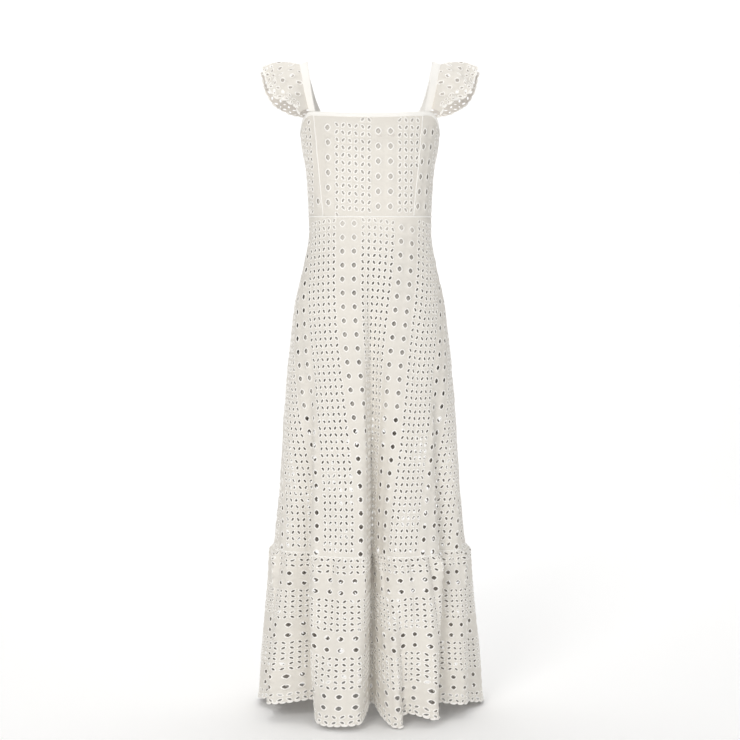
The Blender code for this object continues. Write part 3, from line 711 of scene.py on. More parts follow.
class PatternPiece:
    """A flat piece. left and right depend on b, low and high on a. eased shifts the pattern."""

    def __init__(self, left, right, low, high, eased=as_cut, eyelet_room=EYELET_ROOM):
        self.left, self.right, self.low, self.high = left, right, low, high
        self.eased = eased
        self.eyelet_room = eyelet_room

    def trim(self, a, b, snap=EDGE_SNAP):
        at_a, at_b = a, b
        for _ in range(6):
            first, last = self.left(at_b), self.right(at_b)
            at_a = np.where(a < first + snap, first, np.where(a > last - snap, last, a))
            first, last = self.low(at_a), self.high(at_a)
            at_b = np.where(b < first + snap, first, np.where(b > last - snap, last, b))
        moved = (np.abs(at_a - a) > 1e-9) | (np.abs(at_b - b) > 1e-9)
        return at_a, at_b, moved

    def room(self, a, b):
        across = np.minimum(a - self.left(b), self.right(b) - a)
        along = np.minimum(b - self.low(a), self.high(a) - b)
        return np.minimum(across, along)

    def size(self, box):
        """Width, length and area of the flat piece, counted on a fine grid."""
        step = 0.002
        a, b = np.meshgrid(np.arange(*box[0], step), np.arange(*box[1], step))
        inside = self.room(a.ravel(), b.ravel()) > 0
        width = np.ptp(a.ravel()[inside]) + step
        length = np.ptp(b.ravel()[inside]) + step
        return float(width), float(length), float(inside.sum() * step * step)


# %% Cells on a piece, and the flat lace
def cell_numbers(span, start, step):
    return np.arange(math.floor((span[0] - start) / step) - 2, math.ceil((span[1] - start) / step) + 2)


def cells_of(piece, box, anchor):
    """Cell centres that cover a piece, with column, row and the room that the hole has."""
    columns = cell_numbers(box[0], anchor[0], CELL_ACROSS)
    rows = cell_numbers(box[1], anchor[1], CELL_ALONG)
    column, row = (grid.ravel() for grid in np.meshgrid(columns, rows))
    a = anchor[0] + (column + 0.5) * CELL_ACROSS
    b = anchor[1] + (row + 0.5) * CELL_ALONG
    used = np.zeros(len(a), bool)
    for da in (-0.5, 0.5):
        for db in (-0.5, 0.5):
            used |= ~piece.trim(*piece.eased(a + da * CELL_ACROSS, b + db * CELL_ALONG))[2]
    in_repeat = (column + 1) % CELLS_IN_REPEAT
    to_eyelet = (in_repeat < EYELET_LINES) * 0.5
    da = np.where(in_repeat % 2 == 0, to_eyelet, -to_eyelet) * CELL_ACROSS
    db = np.where((row + 1) % 2 == 0, to_eyelet, -to_eyelet) * CELL_ALONG
    room = piece.room(*piece.eased(a + da, b + db))
    return a[used], b[used], {"column": column[used], "row": row[used], "room": room[used]}


def flat_lace(piece, box, anchor):
    a, b, facts = cells_of(piece, box, anchor)
    mesh = new_mesh("cells", np.stack([a, b, 0 * a], axis=1).tolist(), [])
    for name, values in facts.items():
        store(mesh, name, values)
    made = new_object("cells", mesh)
    values = {**TILES, "Material": eyelet_white, "Eyelet room": piece.eyelet_room}
    lace = run_tree(made, LACE_TREE, values)
    bpy.data.objects.remove(made)
    return lace


# %% Helpers for draped cloth
def points_of(mesh):
    flat = np.empty(len(mesh.vertices) * 3, np.float64)
    mesh.vertices.foreach_get("co", flat)
    return flat.reshape(-1, 3)


def unit(vectors):
    return vectors / np.maximum(np.linalg.norm(vectors, axis=-1, keepdims=True), 1e-12)


def surface_normal(place, a, b, reach=0.0012):
    run = place(a + reach, b) - place(a - reach, b)
    rise = place(a, b + reach) - place(a, b - reach)
    return unit(np.cross(run, rise))


def away_from_axis(points):
    return unit(points * np.array([1.0, 1.0, 0.0]))


def store_cloth_uv(mesh, a, b):
    """Cloth coordinates as a UV map, centred, at UV_METRES to the whole width of the map."""
    corner = np.empty(len(mesh.loops), np.int32)
    mesh.loops.foreach_get("vertex_index", corner)
    middle = [(c.min() + c.max()) / 2 for c in (a, b)]
    uv = [0.5 + (c[corner] - m) / UV_METRES for c, m in zip((a, b), middle)]
    layer = mesh.uv_layers.new(name="cloth")
    layer.data.foreach_set("uv", np.stack(uv, axis=1).astype(np.float32).ravel())


def clean(mesh, weld=0.00003):
    work = bmesh.new()
    work.from_mesh(mesh)
    bmesh.ops.remove_doubles(work, verts=work.verts, dist=weld)
    bmesh.ops.dissolve_degenerate(work, edges=work.edges, dist=0.00001)
    loose = [v for v in work.verts if not v.link_faces]
    bmesh.ops.delete(work, geom=loose, context="VERTS")
    work.to_mesh(mesh)
    work.free()


def finish_piece(name, mesh, material, sharp=60):
    mesh.materials.clear()
    mesh.materials.append(material)
    mesh.shade_smooth()
    mesh.set_sharp_from_angle(angle=math.radians(sharp))
    return new_object(name, mesh)


def triangles_of(mesh):
    mesh.calc_loop_triangles()
    return len(mesh.loop_triangles)


def turn_faces_out(mesh, hints):
    """Turn the faces over if most of them look against the hinted directions."""
    normals = np.empty(len(mesh.polygons) * 3)
    mesh.polygons.foreach_get("normal", normals)
    areas = np.empty(len(mesh.polygons))
    mesh.polygons.foreach_get("area", areas)
    first = np.array([face.vertices[0] for face in mesh.polygons])
    votes = np.sum(areas[:, None] * normals.reshape(-1, 3) * hints[first])
    if votes < 0:
        mesh.flip_normals()


# %% Drape a flat piece and sew it in
def drape(name, mesh, piece, place, outward, material):
    """Trim a flat lace mesh to its piece and carry it onto the dress."""
    flat = points_of(mesh)
    a, b, moved = piece.trim(*piece.eased(flat[:, 0], flat[:, 1]))
    lift = np.where(moved, 0.0, flat[:, 2])
    base = place(a, b)
    normal = surface_normal(place, a, b)
    normal *= math.copysign(1.0, float(np.sum(normal * outward(base))))
    points = base + normal * lift[:, None]
    store_cloth_uv(mesh, a, b)
    mesh.vertices.foreach_set("co", points.astype(np.float32).ravel())
    mesh.update()
    on_front = np.where(flat[:, 2] < -CLOTH_THICKNESS * 0.9, 0.0, 1.0)
    in_hole = np.where(flat[:, 2] > -CLOTH_THICKNESS * 0.9, 1.0, -1.0)
    turn_faces_out(mesh, normal * np.where(moved, 0.0, in_hole * (0.2 + on_front))[:, None])
    for label in ("embroidery", "wrong_side_painted_shade"):
        values = np.empty(len(flat), np.float32)
        mesh.attributes[label].data.foreach_get("value", values)
        mesh.attributes[label].data.foreach_set("value", np.where(moved, 0.0, values).astype(np.float32))
    clean(mesh)
    print(name, "triangles:", triangles_of(mesh))
    return finish_piece(name, mesh, material)


def sew_in(made, nodes):
    """Hide the CAD nodes that a piece stands for, and attach it to the dress so that it moves with it."""
    if nodes:
        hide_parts(*nodes)
    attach(made, "root")


def lace_panel(name, node, piece, box, anchor, place, outward):
    made = drape(name, flat_lace(piece, box, anchor), piece, place, outward, eyelet_white)
    sew_in(made, (node,))
    piece.size(box)


# %% [markdown]
# ## The skirt
# Three flared panels run from the waist seam to the flounce seam. The lines of holes run straight
# down each panel, and the flare is cut from the sides, so the holes near a side seam meet it at a
# slant. In wear the front panel has settled: its lines draw in towards the middle below the hips,
# and its rows sink a little at the sides. A cloth solver would settle it too, but hardly in the
# same way as on the real dress, so the pattern is eased by a few measured amounts instead.

# %% Sizes and easing of the skirt
SKIRT_FRONT_ANCHOR = (-0.0580, -0.3550)
BACK_SKIRT_ANCHOR = (-0.0750, -0.3550)
ROW_SHIFT = 0.0132
ZIP_HALF = 0.0029
ZIP_END = -0.4790


def settled_rows(a, b):
    """The cloth has shrunk a little along its length, more so near the flounce."""
    below = WAIST - b
    return a, WAIST - (0.94 * below - 0.023 * below * np.abs(below) - ROW_SHIFT)


def settled_front(a, b):
    b_eased = settled_rows(a, b)[1]
    down = np.clip((WAIST - b_eased) / (WAIST - FLOUNCE_SEAM), 0.0, 1.0)
    drawn_in = 0.004 + 0.018 * ease((a + 0.035) / 0.10) + 0.010 * ease((a - 0.09) / 0.12)
    drawn_in = drawn_in - 0.004 * ease((-0.07 - a) / 0.08)
    grow = ease(down / 0.47) * (1 + 0.15 * ease((down - 0.55) / 0.45))
    sunk = 0.9 * np.minimum((a + 0.035) ** 2, 0.030) * (1 - down)
    return a - drawn_in * grow, b_eased - sunk

# %% Edges of a skirt panel
def front_edge(side):
    return lambda b: side_seam(b, CENTRE_FRONT, side)


def back_side(side):
    return lambda b: side_seam(b, CENTRE_BACK, side)


def zip_edge(side):
    return lambda b: side * np.where(b > ZIP_END, ZIP_HALF, 0.0)


def level(height):
    return lambda a: height + 0 * a


def on_body(start):
    return lambda a, b: lace_surface(a, b, start)

# %% Drape the skirt panels
SKIRT_PANELS = (
    ("skirt_front", CENTRE_FRONT, front_edge(-1), front_edge(1), SKIRT_FRONT_ANCHOR, settled_front),
    ("skirt_back_left", CENTRE_BACK, back_side(-1), zip_edge(-1), BACK_SKIRT_ANCHOR, settled_rows),
    ("skirt_back_right", CENTRE_BACK, zip_edge(1), back_side(1), BACK_SKIRT_ANCHOR, settled_rows),
)
for node, start, left, right, anchor, eased in SKIRT_PANELS:
    piece = PatternPiece(left, right, level(FLOUNCE_SEAM), level(WAIST), eased)
    box = (
        (float(left(RING_HEIGHTS).min()), float(right(RING_HEIGHTS).max()) + 0.035),
        (FLOUNCE_SEAM - 0.090, WAIST),
    )
    lace_panel(node + "_lace", node, piece, box, anchor, on_body(start), away_from_axis)

# %% [markdown]
# ## The bodice
# The bodice fits closely, so it is shaped by two curved seams in front that run from the neck to
# the waist, and it closes at centre back. Its panels use the same lace the same way up. Each panel
# could have its own drawn outline, but then two outlines would have to agree along every seam. So
# both neighbours read one curve, placed by its distance sideways, which narrows to the waist.

# %% The curved seams of the bodice
PRINCESS_TOP = -0.1125
PRINCESS_AT_TOP = 0.1145
PRINCESS_AT_WAIST = 0.0950
PRINCESS_SHIFT = -0.0035
BODICE_ANCHOR = (0.0171, -0.3050)
SEAM_ANCHOR = (0.0090, -0.3050)
BACK_BODICE_ANCHOR = (-0.0750, -0.3050)
BODICE_HEIGHTS = np.linspace(WAIST, -0.090, 60)


def princess_angles(heights, side):
    tries = np.radians(np.linspace(20, 85, 400))
    found = []
    for height in heights:
        share = (height - WAIST) / (top_edge(np.array(0.0)) - WAIST)
        across = PRINCESS_AT_WAIST + (PRINCESS_AT_TOP - PRINCESS_AT_WAIST) * share
        across += side * PRINCESS_SHIFT
        found.append(np.interp(across, lace_radius(tries, height) * np.sin(tries), tries))
    return side * np.array(found)


PRINCESS_ANGLES = {side: princess_angles(BODICE_HEIGHTS, side) for side in (-1, 1)}
PRINCESS_DISTANCES = {
    side: distance_at(PRINCESS_ANGLES[side], BODICE_HEIGHTS, CENTRE_FRONT) for side in (-1, 1)
}


def princess(side):
    return lambda b: np.interp(b, BODICE_HEIGHTS, PRINCESS_DISTANCES[side])

# %% Upper edge and easing of the bodice
def bodice_top(start):
    def high(a):
        return top_edge(angle_at(a, np.full(np.shape(a), -0.12), start)) - BAND_DEPTH

    return high


def drawn_up(a, b):
    """On the right of the bodice the rows of holes rise, and all its columns spread a little."""
    to_right = np.maximum(0.0, -a - 0.003)
    return a - 0.10 * to_right + 0.07 * np.maximum(0.0, a - 0.030), b + 0.103 * to_right


def along_the_seam(a, b):
    """On the left side front the lines of holes run beside the curved seam."""
    return a + princess(1)(b), b

# %% Drape the bodice panels
# panel, where b is measured from, left edge, right edge, anchor, easing, room for an eyelet
BODICE_PANELS = (
    ("side_front_right", CENTRE_FRONT, front_edge(-1), princess(-1), BODICE_ANCHOR, drawn_up, 0.007),
    ("centre_front", CENTRE_FRONT, princess(-1), princess(1), BODICE_ANCHOR, drawn_up, 0.011),
    ("side_front_left", CENTRE_FRONT, princess(1), front_edge(1), SEAM_ANCHOR, along_the_seam, 0.007),
    ("back_left", CENTRE_BACK, back_side(-1), zip_edge(-1), BACK_BODICE_ANCHOR, as_cut, 0.007),
    ("back_right", CENTRE_BACK, zip_edge(1), back_side(1), BACK_BODICE_ANCHOR, as_cut, 0.007),
)
for panel, start, left, right, anchor, eased, room in BODICE_PANELS:
    node = "bodice_" + panel
    piece = PatternPiece(left, right, level(WAIST), bodice_top(start), eased, room)
    first = 0.0 if eased is along_the_seam else float(left(BODICE_HEIGHTS).min())
    box = ((first, float(right(BODICE_HEIGHTS).max())), (WAIST - 0.020, -0.095))
    lace_panel(node + "_lace", node, piece, box, anchor, on_body(start), away_from_axis)

# %% [markdown]
# ## The flounce
# The flounce is the same lace turned on its side, so that its finished border makes the hem. It
# is cut wider than the skirt's edge and gathered into it, which makes small puffs under the seam
# that fade into a few deep folds. A cloth solver could find them. Here they are the same waves as
# in the CAD model, with finer puckers close to the seam.

# %% Cut and hem of the flounce
FLOUNCE_CUT = 60 * CELL_ALONG
HALF_CUT = FLOUNCE_CUT / 2
FLOUNCE_CUT_DEPTH = 0.3440
FLOUNCE_ANCHOR = (0.0375, 0.0)
HEM_LIFT_PER_DIP = 0.16
HEM_RAISE_COLUMNS = ("angle", "raise")
HEM_RAISE = (
    (-180, -0.012), (-116, -0.012), (-96, -0.004), (-76, 0.004), (-62, 0.017), (-48, 0.020),
    (-40, 0.014), (-32, -0.001), (-12, -0.004), (-3, 0.000), (3, 0.006), (9, -0.007),
    (15, -0.015), (19, -0.012), (25, 0.002), (38, -0.001), (48, 0.008), (62, 0.011),
    (78, -0.004), (92, -0.010), (116, -0.012), (180, -0.012),
)
PUFF_OUT = 0.0055
GATHER_DEPTH = 0.0066
WAVE_DEPTH = 0.0070
PUCKER_DEPTH = 0.0020
CREASE_DEPTH = 0.0042
SHRUNK_BY = 0.95
print("flounce cut:", FLOUNCE_CUT, "by", FLOUNCE_CUT_DEPTH, "m")

# %% The gathered surface
def flounce_surface(a, b, start):
    """a is measured up from the hem and b sideways from the middle, both along the cloth."""
    share = np.clip(b / HALF_CUT, -1, 1)
    below = FLOUNCE_CUT_DEPTH - a
    down = below / FLOUNCE_CUT_DEPTH
    height = FLOUNCE_SEAM + (HEM - FLOUNCE_SEAM) * down
    edge = np.where(share < 0, -side_seam(height, start, -1), side_seam(height, start, 1))
    angle = angle_at(share * edge, height, start)
    full = ease(below / 0.016)
    settle = np.exp(-np.maximum(0.0, below - 0.016) / 0.105)
    uneven = 0.55 * np.sin(5 * share * math.pi + start) + 0.35 * np.sin(11 * share + 1.0)
    gather = full * settle * np.cos(15 * math.pi * share + uneven)
    wave = ease(down) * np.cos(9 * math.pi * share + 2 * uneven + 1.3)
    clear_of_side = ease((1 - np.abs(share)) / 0.08)
    pucker = full * np.exp(-below / 0.030) * np.cos(41 * math.pi * share + 5 * uneven)
    puff = 1 + 0.45 * np.sin(4.3 * share * math.pi + 1.9 * start)
    crease = np.abs(np.sin(10.5 * math.pi * share + 2.2 * uneven)) ** 0.6 - 0.7
    fine = PUCKER_DEPTH * pucker + CREASE_DEPTH * full * (0.30 + 0.70 * settle) * crease
    waves = (GATHER_DEPTH * puff * gather + WAVE_DEPTH * wave + fine) * clear_of_side
    out = PUFF_OUT * full * settle + waves
    radius = lace_radius(angle, height)
    dip = body_radius(angle, height) - radius
    ripple = unevenness(angle, height) * (0.35 + 0.65 * np.abs(1 - 2 * down))
    turned = (np.degrees(angle) + 180) % 360 - 180
    raise_by = read_table(turned, HEM_RAISE, HEM_RAISE_COLUMNS, "raise")
    return on_ring(angle, radius + out + ripple, height + (HEM_LIFT_PER_DIP * dip + raise_by) * down)

# %% Drape the flounce
def shrunk(a, b):
    return SHRUNK_BY * a, b


def on_flounce(start):
    return lambda a, b: flounce_surface(a, b, start)


flounce_piece = PatternPiece(
    level(0.0), level(FLOUNCE_CUT_DEPTH), level(-HALF_CUT), level(HALF_CUT), shrunk
)
FLOUNCE_BOX = ((0.0, FLOUNCE_CUT_DEPTH + 0.020), (-HALF_CUT, HALF_CUT))
for node, start in (("flounce_front", CENTRE_FRONT), ("flounce_back", CENTRE_BACK)):
    lace_panel(
        node + "_lace", node, flounce_piece, FLOUNCE_BOX, FLOUNCE_ANCHOR,
        on_flounce(start), away_from_axis,
    )

# %% [markdown]
# ## The lining
# Behind the lace hangs a plain cotton lining. It makes the holes look grey down to the knee, and
# where it ends they turn nearly black. A single surface would do for the colour, but the edge at
# the knee matters too. So it is a thin closed sheet, with a turned hem that is twice as thick.

# %% Closed thin sheets from a grid of places
def closed_sheet(name, outer, inner, across, along, material, outward=away_from_axis):
    """A thin closed sheet between two grids of points."""
    rows, columns = outer.shape[:2]
    count = rows * columns
    faces = grid_faces(rows, columns)
    faces += [tuple(reversed(f)) for f in grid_faces(rows, columns, count)]
    rim = list(range(columns))
    rim += [i * columns + columns - 1 for i in range(1, rows)]
    rim += [(rows - 1) * columns + j for j in range(columns - 2, -1, -1)]
    rim += [i * columns for i in range(rows - 2, 0, -1)]
    for k, start in enumerate(rim):
        end = rim[(k + 1) % len(rim)]
        faces.append((end, start, start + count, end + count))
    mesh = new_mesh(name, np.concatenate([outer.reshape(-1, 3), inner.reshape(-1, 3)]).tolist(), faces)
    a, b = (np.concatenate([c.ravel(), c.ravel()]) for c in (across, along))
    store_cloth_uv(mesh, a, b)
    hints = outward(outer.reshape(-1, 3))
    turn_faces_out(mesh, np.concatenate([hints, -hints]))
    return finish_piece(name, mesh, material)

# %% A lining behind the lace
LINING_GAP = 0.0017
LINING_THICKNESS = 0.0006
TURNED_HEM_DEPTH = 0.014


def lining_inset(height):
    """How far the lining lies behind the lace. It meets it at the neck and the waist."""
    from_seam = np.minimum(height - WAIST, np.maximum(0.0, -0.110 - height))
    above = LINING_GAP + 0.0011 * ease(from_seam / 0.030)
    return np.where(height > WAIST, above, LINING_GAP + 0.0048 * ease((WAIST - height) / 0.12))


def make_lining(name, node, start, top, bottom, base, columns, rows, turned_hem):
    turn, share = np.meshgrid(np.linspace(start - SIDE, start + SIDE, columns), np.linspace(0, 1, rows))
    height = bottom + (top(turn) - bottom) * share
    radius = base(turn, height) - lining_inset(height)
    hem = LINING_THICKNESS * (turned_hem & (height < bottom + TURNED_HEM_DEPTH))
    outer = on_ring(turn, radius, height)
    inner = on_ring(turn, radius - LINING_THICKNESS - hem, height)
    made = closed_sheet(name, outer, inner, (turn - start) * radius, height, lining_white)
    sew_in(made, (node,))
    print(name)


# %% Make the four lining pieces
for side, start in (("front", CENTRE_FRONT), ("back", CENTRE_BACK)):
    make_lining(
        "bodice_lining_" + side, "lining_bodice_" + side, start,
        lambda turn: top_edge(turn) - BAND_DEPTH, WAIST, cloth_radius,
        columns=97, rows=40, turned_hem=False,
    )
    make_lining(
        "skirt_lining_" + side, "lining_skirt_" + side, start,
        level(WAIST), LINING_HEM, lace_radius, columns=241, rows=60, turned_hem=True,
    )

# %% [markdown]
# ## Bindings
# The neck and the armholes are finished with a narrow strip of plain cotton folded over the edge.
# A strip could be a bevelled curve, but then it would round off at its ends. It is swept instead:
# one rounded outline is carried along the edge of the bodice, and its ends are closed flat.

# %% Outline and stops of the bindings
BAND_PROFILE = (
    (-0.0004, 0.0000), (0.0007, 0.0005), (0.0012, 0.0035), (0.0012, 0.0062), (0.0008, 0.0080),
    (-0.0002, 0.0091), (-0.0014, 0.0093), (-0.0025, 0.0085), (-0.0029, 0.0060), (-0.0029, 0.0030),
    (-0.0026, 0.0006), (-0.0016, 0.0000),
)
STRAP_FRONT = 60
STRAP_BACK = 127
BAND_STOPS = (
    ("neck_band_front", -STRAP_FRONT, STRAP_FRONT),
    ("armhole_band_left", STRAP_FRONT, STRAP_BACK),
    ("neck_band_back_left", STRAP_BACK, 178.6),
    ("neck_band_back_right", 181.4, 360 - STRAP_BACK),
    ("armhole_band_right", 360 - STRAP_BACK, 360 - STRAP_FRONT),
)
print("points round a binding:", len(BAND_PROFILE))

# %% Sweep an outline along a line
def ringed_mesh(name, rings, along, way_round, ends=()):
    """Join rings of points. Their cloth coordinates run along the line and way_round each ring."""
    steps, count = rings.shape[:2]
    faces = grid_faces(steps, count, wrap=True) + list(ends)
    mesh = new_mesh(name, rings.reshape(-1, 3).tolist(), faces)
    store_cloth_uv(mesh, np.tile(np.linspace(0, way_round, count), steps), np.repeat(along, count))
    centres = rings.mean(axis=1)
    turn_faces_out(mesh, unit(rings - centres[:, None]).reshape(-1, 3))
    return mesh


def swept(name, rings, material, along):
    """Close a swept outline at both ends. rings holds one ring of points for each step."""
    steps, count = rings.shape[:2]
    ends = [tuple(range(count - 1, -1, -1)), tuple((steps - 1) * count + k for k in range(count))]
    return finish_piece(name, ringed_mesh(name, rings, along, 0.02, ends), material, 45)

# %% Sweep the bindings over the upper edge
def band_rings(first, last):
    turns = np.radians(np.arange(first, last + 0.01, (last - first) / math.ceil((last - first) / 1.2)))
    base = top_edge(turns) - BAND_DEPTH - 0.0005
    rings = []
    for out, up in BAND_PROFILE:
        soft = 0.00018 * np.sin(55 * turns + 40 * up) + 0.00012 * np.sin(131 * turns)
        rings.append(on_ring(turns, cloth_radius(turns, base) + out + soft, base + up))
    return np.stack(rings, axis=1), turns


for node, first, last in BAND_STOPS:
    rings, turns = band_rings(first, last)
    made = swept(node + "_binding", rings, band_white, turns * 0.12)
    sew_in(made, (node,))
print("bindings:", [node for node, _, _ in BAND_STOPS])

# %% [markdown]
# ## Shoulder straps
# Each strap is a flat strip of doubled cotton that runs over the shoulder from the front band to
# the back one, and leans with the slope of the shoulder. A flat strip could be bent by a curve
# modifier, but its lean would be hard to set. It is swept like the bindings, along a path through
# the same points as the CAD strap, and its lean is worked out at every step.

# %% The strap's path
STRAP_PATH = np.array((
    (0.1300, -0.0640, -0.0660),
    (0.1355, -0.0480, -0.0300),
    (0.1405, -0.0220, -0.0070),
    (0.1425, 0.0080, -0.0020),
    (0.1410, 0.0370, -0.0160),
    (0.1335, 0.0620, -0.0470),
    (0.1220, 0.0800, -0.0830),
))
STRAP_WIDTH = 0.0170
STRAP_THICKNESS = 0.0020
STRAP_SAMPLES = np.linspace(0, 1, 241)


def strap_end(angle_deg):
    near = np.radians([angle_deg - 4, angle_deg, angle_deg + 4])
    height = float(top_edge(near).max()) + 0.0008
    angle = math.radians(angle_deg)
    radius = float(lace_radius(np.array(angle), np.array(height))) + 0.0003 - 0.0013
    return on_ring(np.array(angle), radius, height)

# %% Width and lean along the strap
def strap_frames(ts):
    """Middle, width direction and upward direction of the left strap at each of ts."""
    path = np.concatenate([[strap_end(STRAP_FRONT)], STRAP_PATH, [strap_end(STRAP_BACK)]])
    marks = np.concatenate([[0.0], np.cumsum(np.linalg.norm(np.diff(path, axis=0), axis=1))])
    marks /= marks[-1]

    def at(t):
        return np.stack([smooth_curve(t, marks, path[:, k]) for k in range(3)], axis=-1)

    middle = at(ts)
    run = unit(at(np.minimum(1, ts + 0.01)) - at(np.maximum(0, ts - 0.01)))
    to_end = np.abs(2 * ts - 1)
    lean = np.radians(18 + np.where(ts < 0.5, 20, 12) * to_end)
    along_y = np.sin(lean) * np.where(ts < 0.5, 1, -1) * ease(to_end)
    across = unit(np.stack([np.cos(lean), along_y, -np.sin(lean) * (1 - ease(to_end))], axis=-1))
    out = unit(np.cross(across, run))
    keep = (out[:, 2] > 0) | (out[:, 1] * (ts - 0.5) > 0)
    return middle, across, np.where(keep[:, None], out, -out)


def to_side(points, side):
    return points * np.array([side, 1.0, 1.0])

# %% Sweep the straps
STRAP_PROFILE = (
    (-0.50, 0.10), (-0.485, 0.42), (-0.44, 0.50), (-0.25, 0.46), (0.0, 0.50), (0.25, 0.46),
    (0.44, 0.50), (0.485, 0.42), (0.50, 0.10), (0.49, -0.36), (0.44, -0.50), (0.0, -0.45),
    (-0.44, -0.50), (-0.49, -0.36),
)


def strap_rings(side):
    middle, across, out = strap_frames(STRAP_SAMPLES[::2])
    ring = [middle + across * w * STRAP_WIDTH + out * h * STRAP_THICKNESS for w, h in STRAP_PROFILE]
    return to_side(np.stack(ring, axis=1), side)


SIDES = (("left", 1), ("right", -1))
for name, side in SIDES:
    made = swept("strap_%s_cotton" % name, strap_rings(side), band_white, STRAP_SAMPLES[::2] * 0.26)
    sew_in(made, ("strap_" + name,))
print("strap length:", round(line_length(strap_frames(STRAP_SAMPLES)[0]), 3), "m")

# %% [markdown]
# ## Shoulder ruffles
# A ruffle is a strip of the same lace, with its border outwards, gathered into the outer edge of
# the strap. It is widest on top of the shoulder and tapers to both ends. Measured out from the
# seam, like the skirt, its border would be cut off where it tapers. So the piece is measured along
# its free edge and inwards from it, and its border of holes follows that edge all the way.

# %% The ruffle's two edges
RUFFLE_COLUMNS = ("along", "x", "y", "z")
RUFFLE_EDGE = (
    (0.02, 0.1450, -0.0830, -0.1110),
    (0.10, 0.1590, -0.0950, -0.0970),
    (0.20, 0.1790, -0.0960, -0.0830),
    (0.30, 0.2030, -0.0820, -0.0730),
    (0.40, 0.2170, -0.0520, -0.0450),
    (0.50, 0.2260, -0.0050, -0.0170),
    (0.60, 0.2310, 0.0380, -0.0230),
    (0.70, 0.2290, 0.0720, -0.0450),
    (0.80, 0.2120, 0.0960, -0.0800),
    (0.90, 0.1740, 0.1040, -0.1020),
    (0.98, 0.1330, 0.0960, -0.1150),
)
RUFFLE_TS = np.linspace(0.02, 0.98, 481)


def ruffle_facts():
    middle, across, out = strap_frames(RUFFLE_TS)
    seam = middle + across * (STRAP_WIDTH / 2 - 0.0008)
    edge = np.stack([read_table(RUFFLE_TS, RUFFLE_EDGE, RUFFLE_COLUMNS, k) for k in "xyz"], axis=-1)
    reach = np.linalg.norm(edge - seam, axis=1)
    wave = np.sin(7 * 2 * math.pi * RUFFLE_TS + 0.7 * np.sin(9 * RUFFLE_TS + 0.5))
    return seam, edge, out, reach, wave


RUFFLE_SEAM, RUFFLE_FREE, RUFFLE_OUT, RUFFLE_REACH, RUFFLE_WAVE = ruffle_facts()
print("widest part of a ruffle:", round(float(RUFFLE_REACH.max()), 3), "m")

# %% The ruffled surface
def by_t(t, values):
    if values.ndim == 1:
        return np.interp(t, RUFFLE_TS, values)
    return np.stack([np.interp(t, RUFFLE_TS, values[:, k]) for k in range(3)], axis=-1)


def ruffle_at(t, share):
    seam, edge, out = (by_t(t, v) for v in (RUFFLE_SEAM, RUFFLE_FREE, RUFFLE_OUT))
    reach, wave = by_t(t, RUFFLE_REACH), by_t(t, RUFFLE_WAVE)
    share = np.clip(share, 0, 1)
    arch = 0.010 * np.sin(math.pi * share) * np.minimum(1, reach / 0.05)
    height = 0.0095 * share**1.3 * np.minimum(1, reach / 0.06) * wave
    pucker = 0.0013 * np.exp(-(((share - 0.10) / 0.10) ** 2)) * np.sin(150 * t + 2 * np.sin(23 * t))
    lift = (arch + height + pucker * np.minimum(1, reach / 0.03))[..., None]
    return seam + (edge - seam) * share[..., None] + out * lift

# %% Length and width of the flat ruffle
FREE_EDGE = ruffle_at(RUFFLE_TS, np.ones(len(RUFFLE_TS)))
FREE_LENGTHS = np.concatenate([[0.0], np.cumsum(np.linalg.norm(np.diff(FREE_EDGE, axis=0), axis=1))])
RUFFLE_LENGTH = float(FREE_LENGTHS[-1])


def ruffle_width(b):
    return by_t(np.interp(b, FREE_LENGTHS, RUFFLE_TS), RUFFLE_REACH)


def ruffle_surface(side):
    def place(a, b):
        t = np.interp(b, FREE_LENGTHS, RUFFLE_TS)
        return to_side(ruffle_at(t, 1 - a / by_t(t, RUFFLE_REACH)), side)

    return place

# %% Drape the ruffles
def up_and_out(points):
    return unit(points * np.array([1.0, 0.4, 0.0]) + np.array([0.0, 0.0, 0.25]))


for name, side in SIDES:
    piece = PatternPiece(level(0.0), ruffle_width, level(0.0), level(RUFFLE_LENGTH))
    box = ((0.0, float(RUFFLE_REACH.max())), (0.0, RUFFLE_LENGTH))
    lace_panel(
        "ruffle_%s_lace" % name, "ruffle_" + name, piece, box, (0.0375, 0.008),
        ruffle_surface(side), up_and_out,
    )
print("ruffle length:", round(RUFFLE_LENGTH, 3), "m")

# %% [markdown]
# ## Sewing along a line
# Stitches, the small loops of a picot edge and the scallops of an embroidered border all repeat
# along a line. An array that follows a curve would bend its parts and cannot vary them. One
# Geometry Nodes tree does all of them instead: it walks along the line at an even spacing, and
# sets a small object there that looks along the line and out of the cloth. A little seeded
# unevenness keeps them from looking stamped.

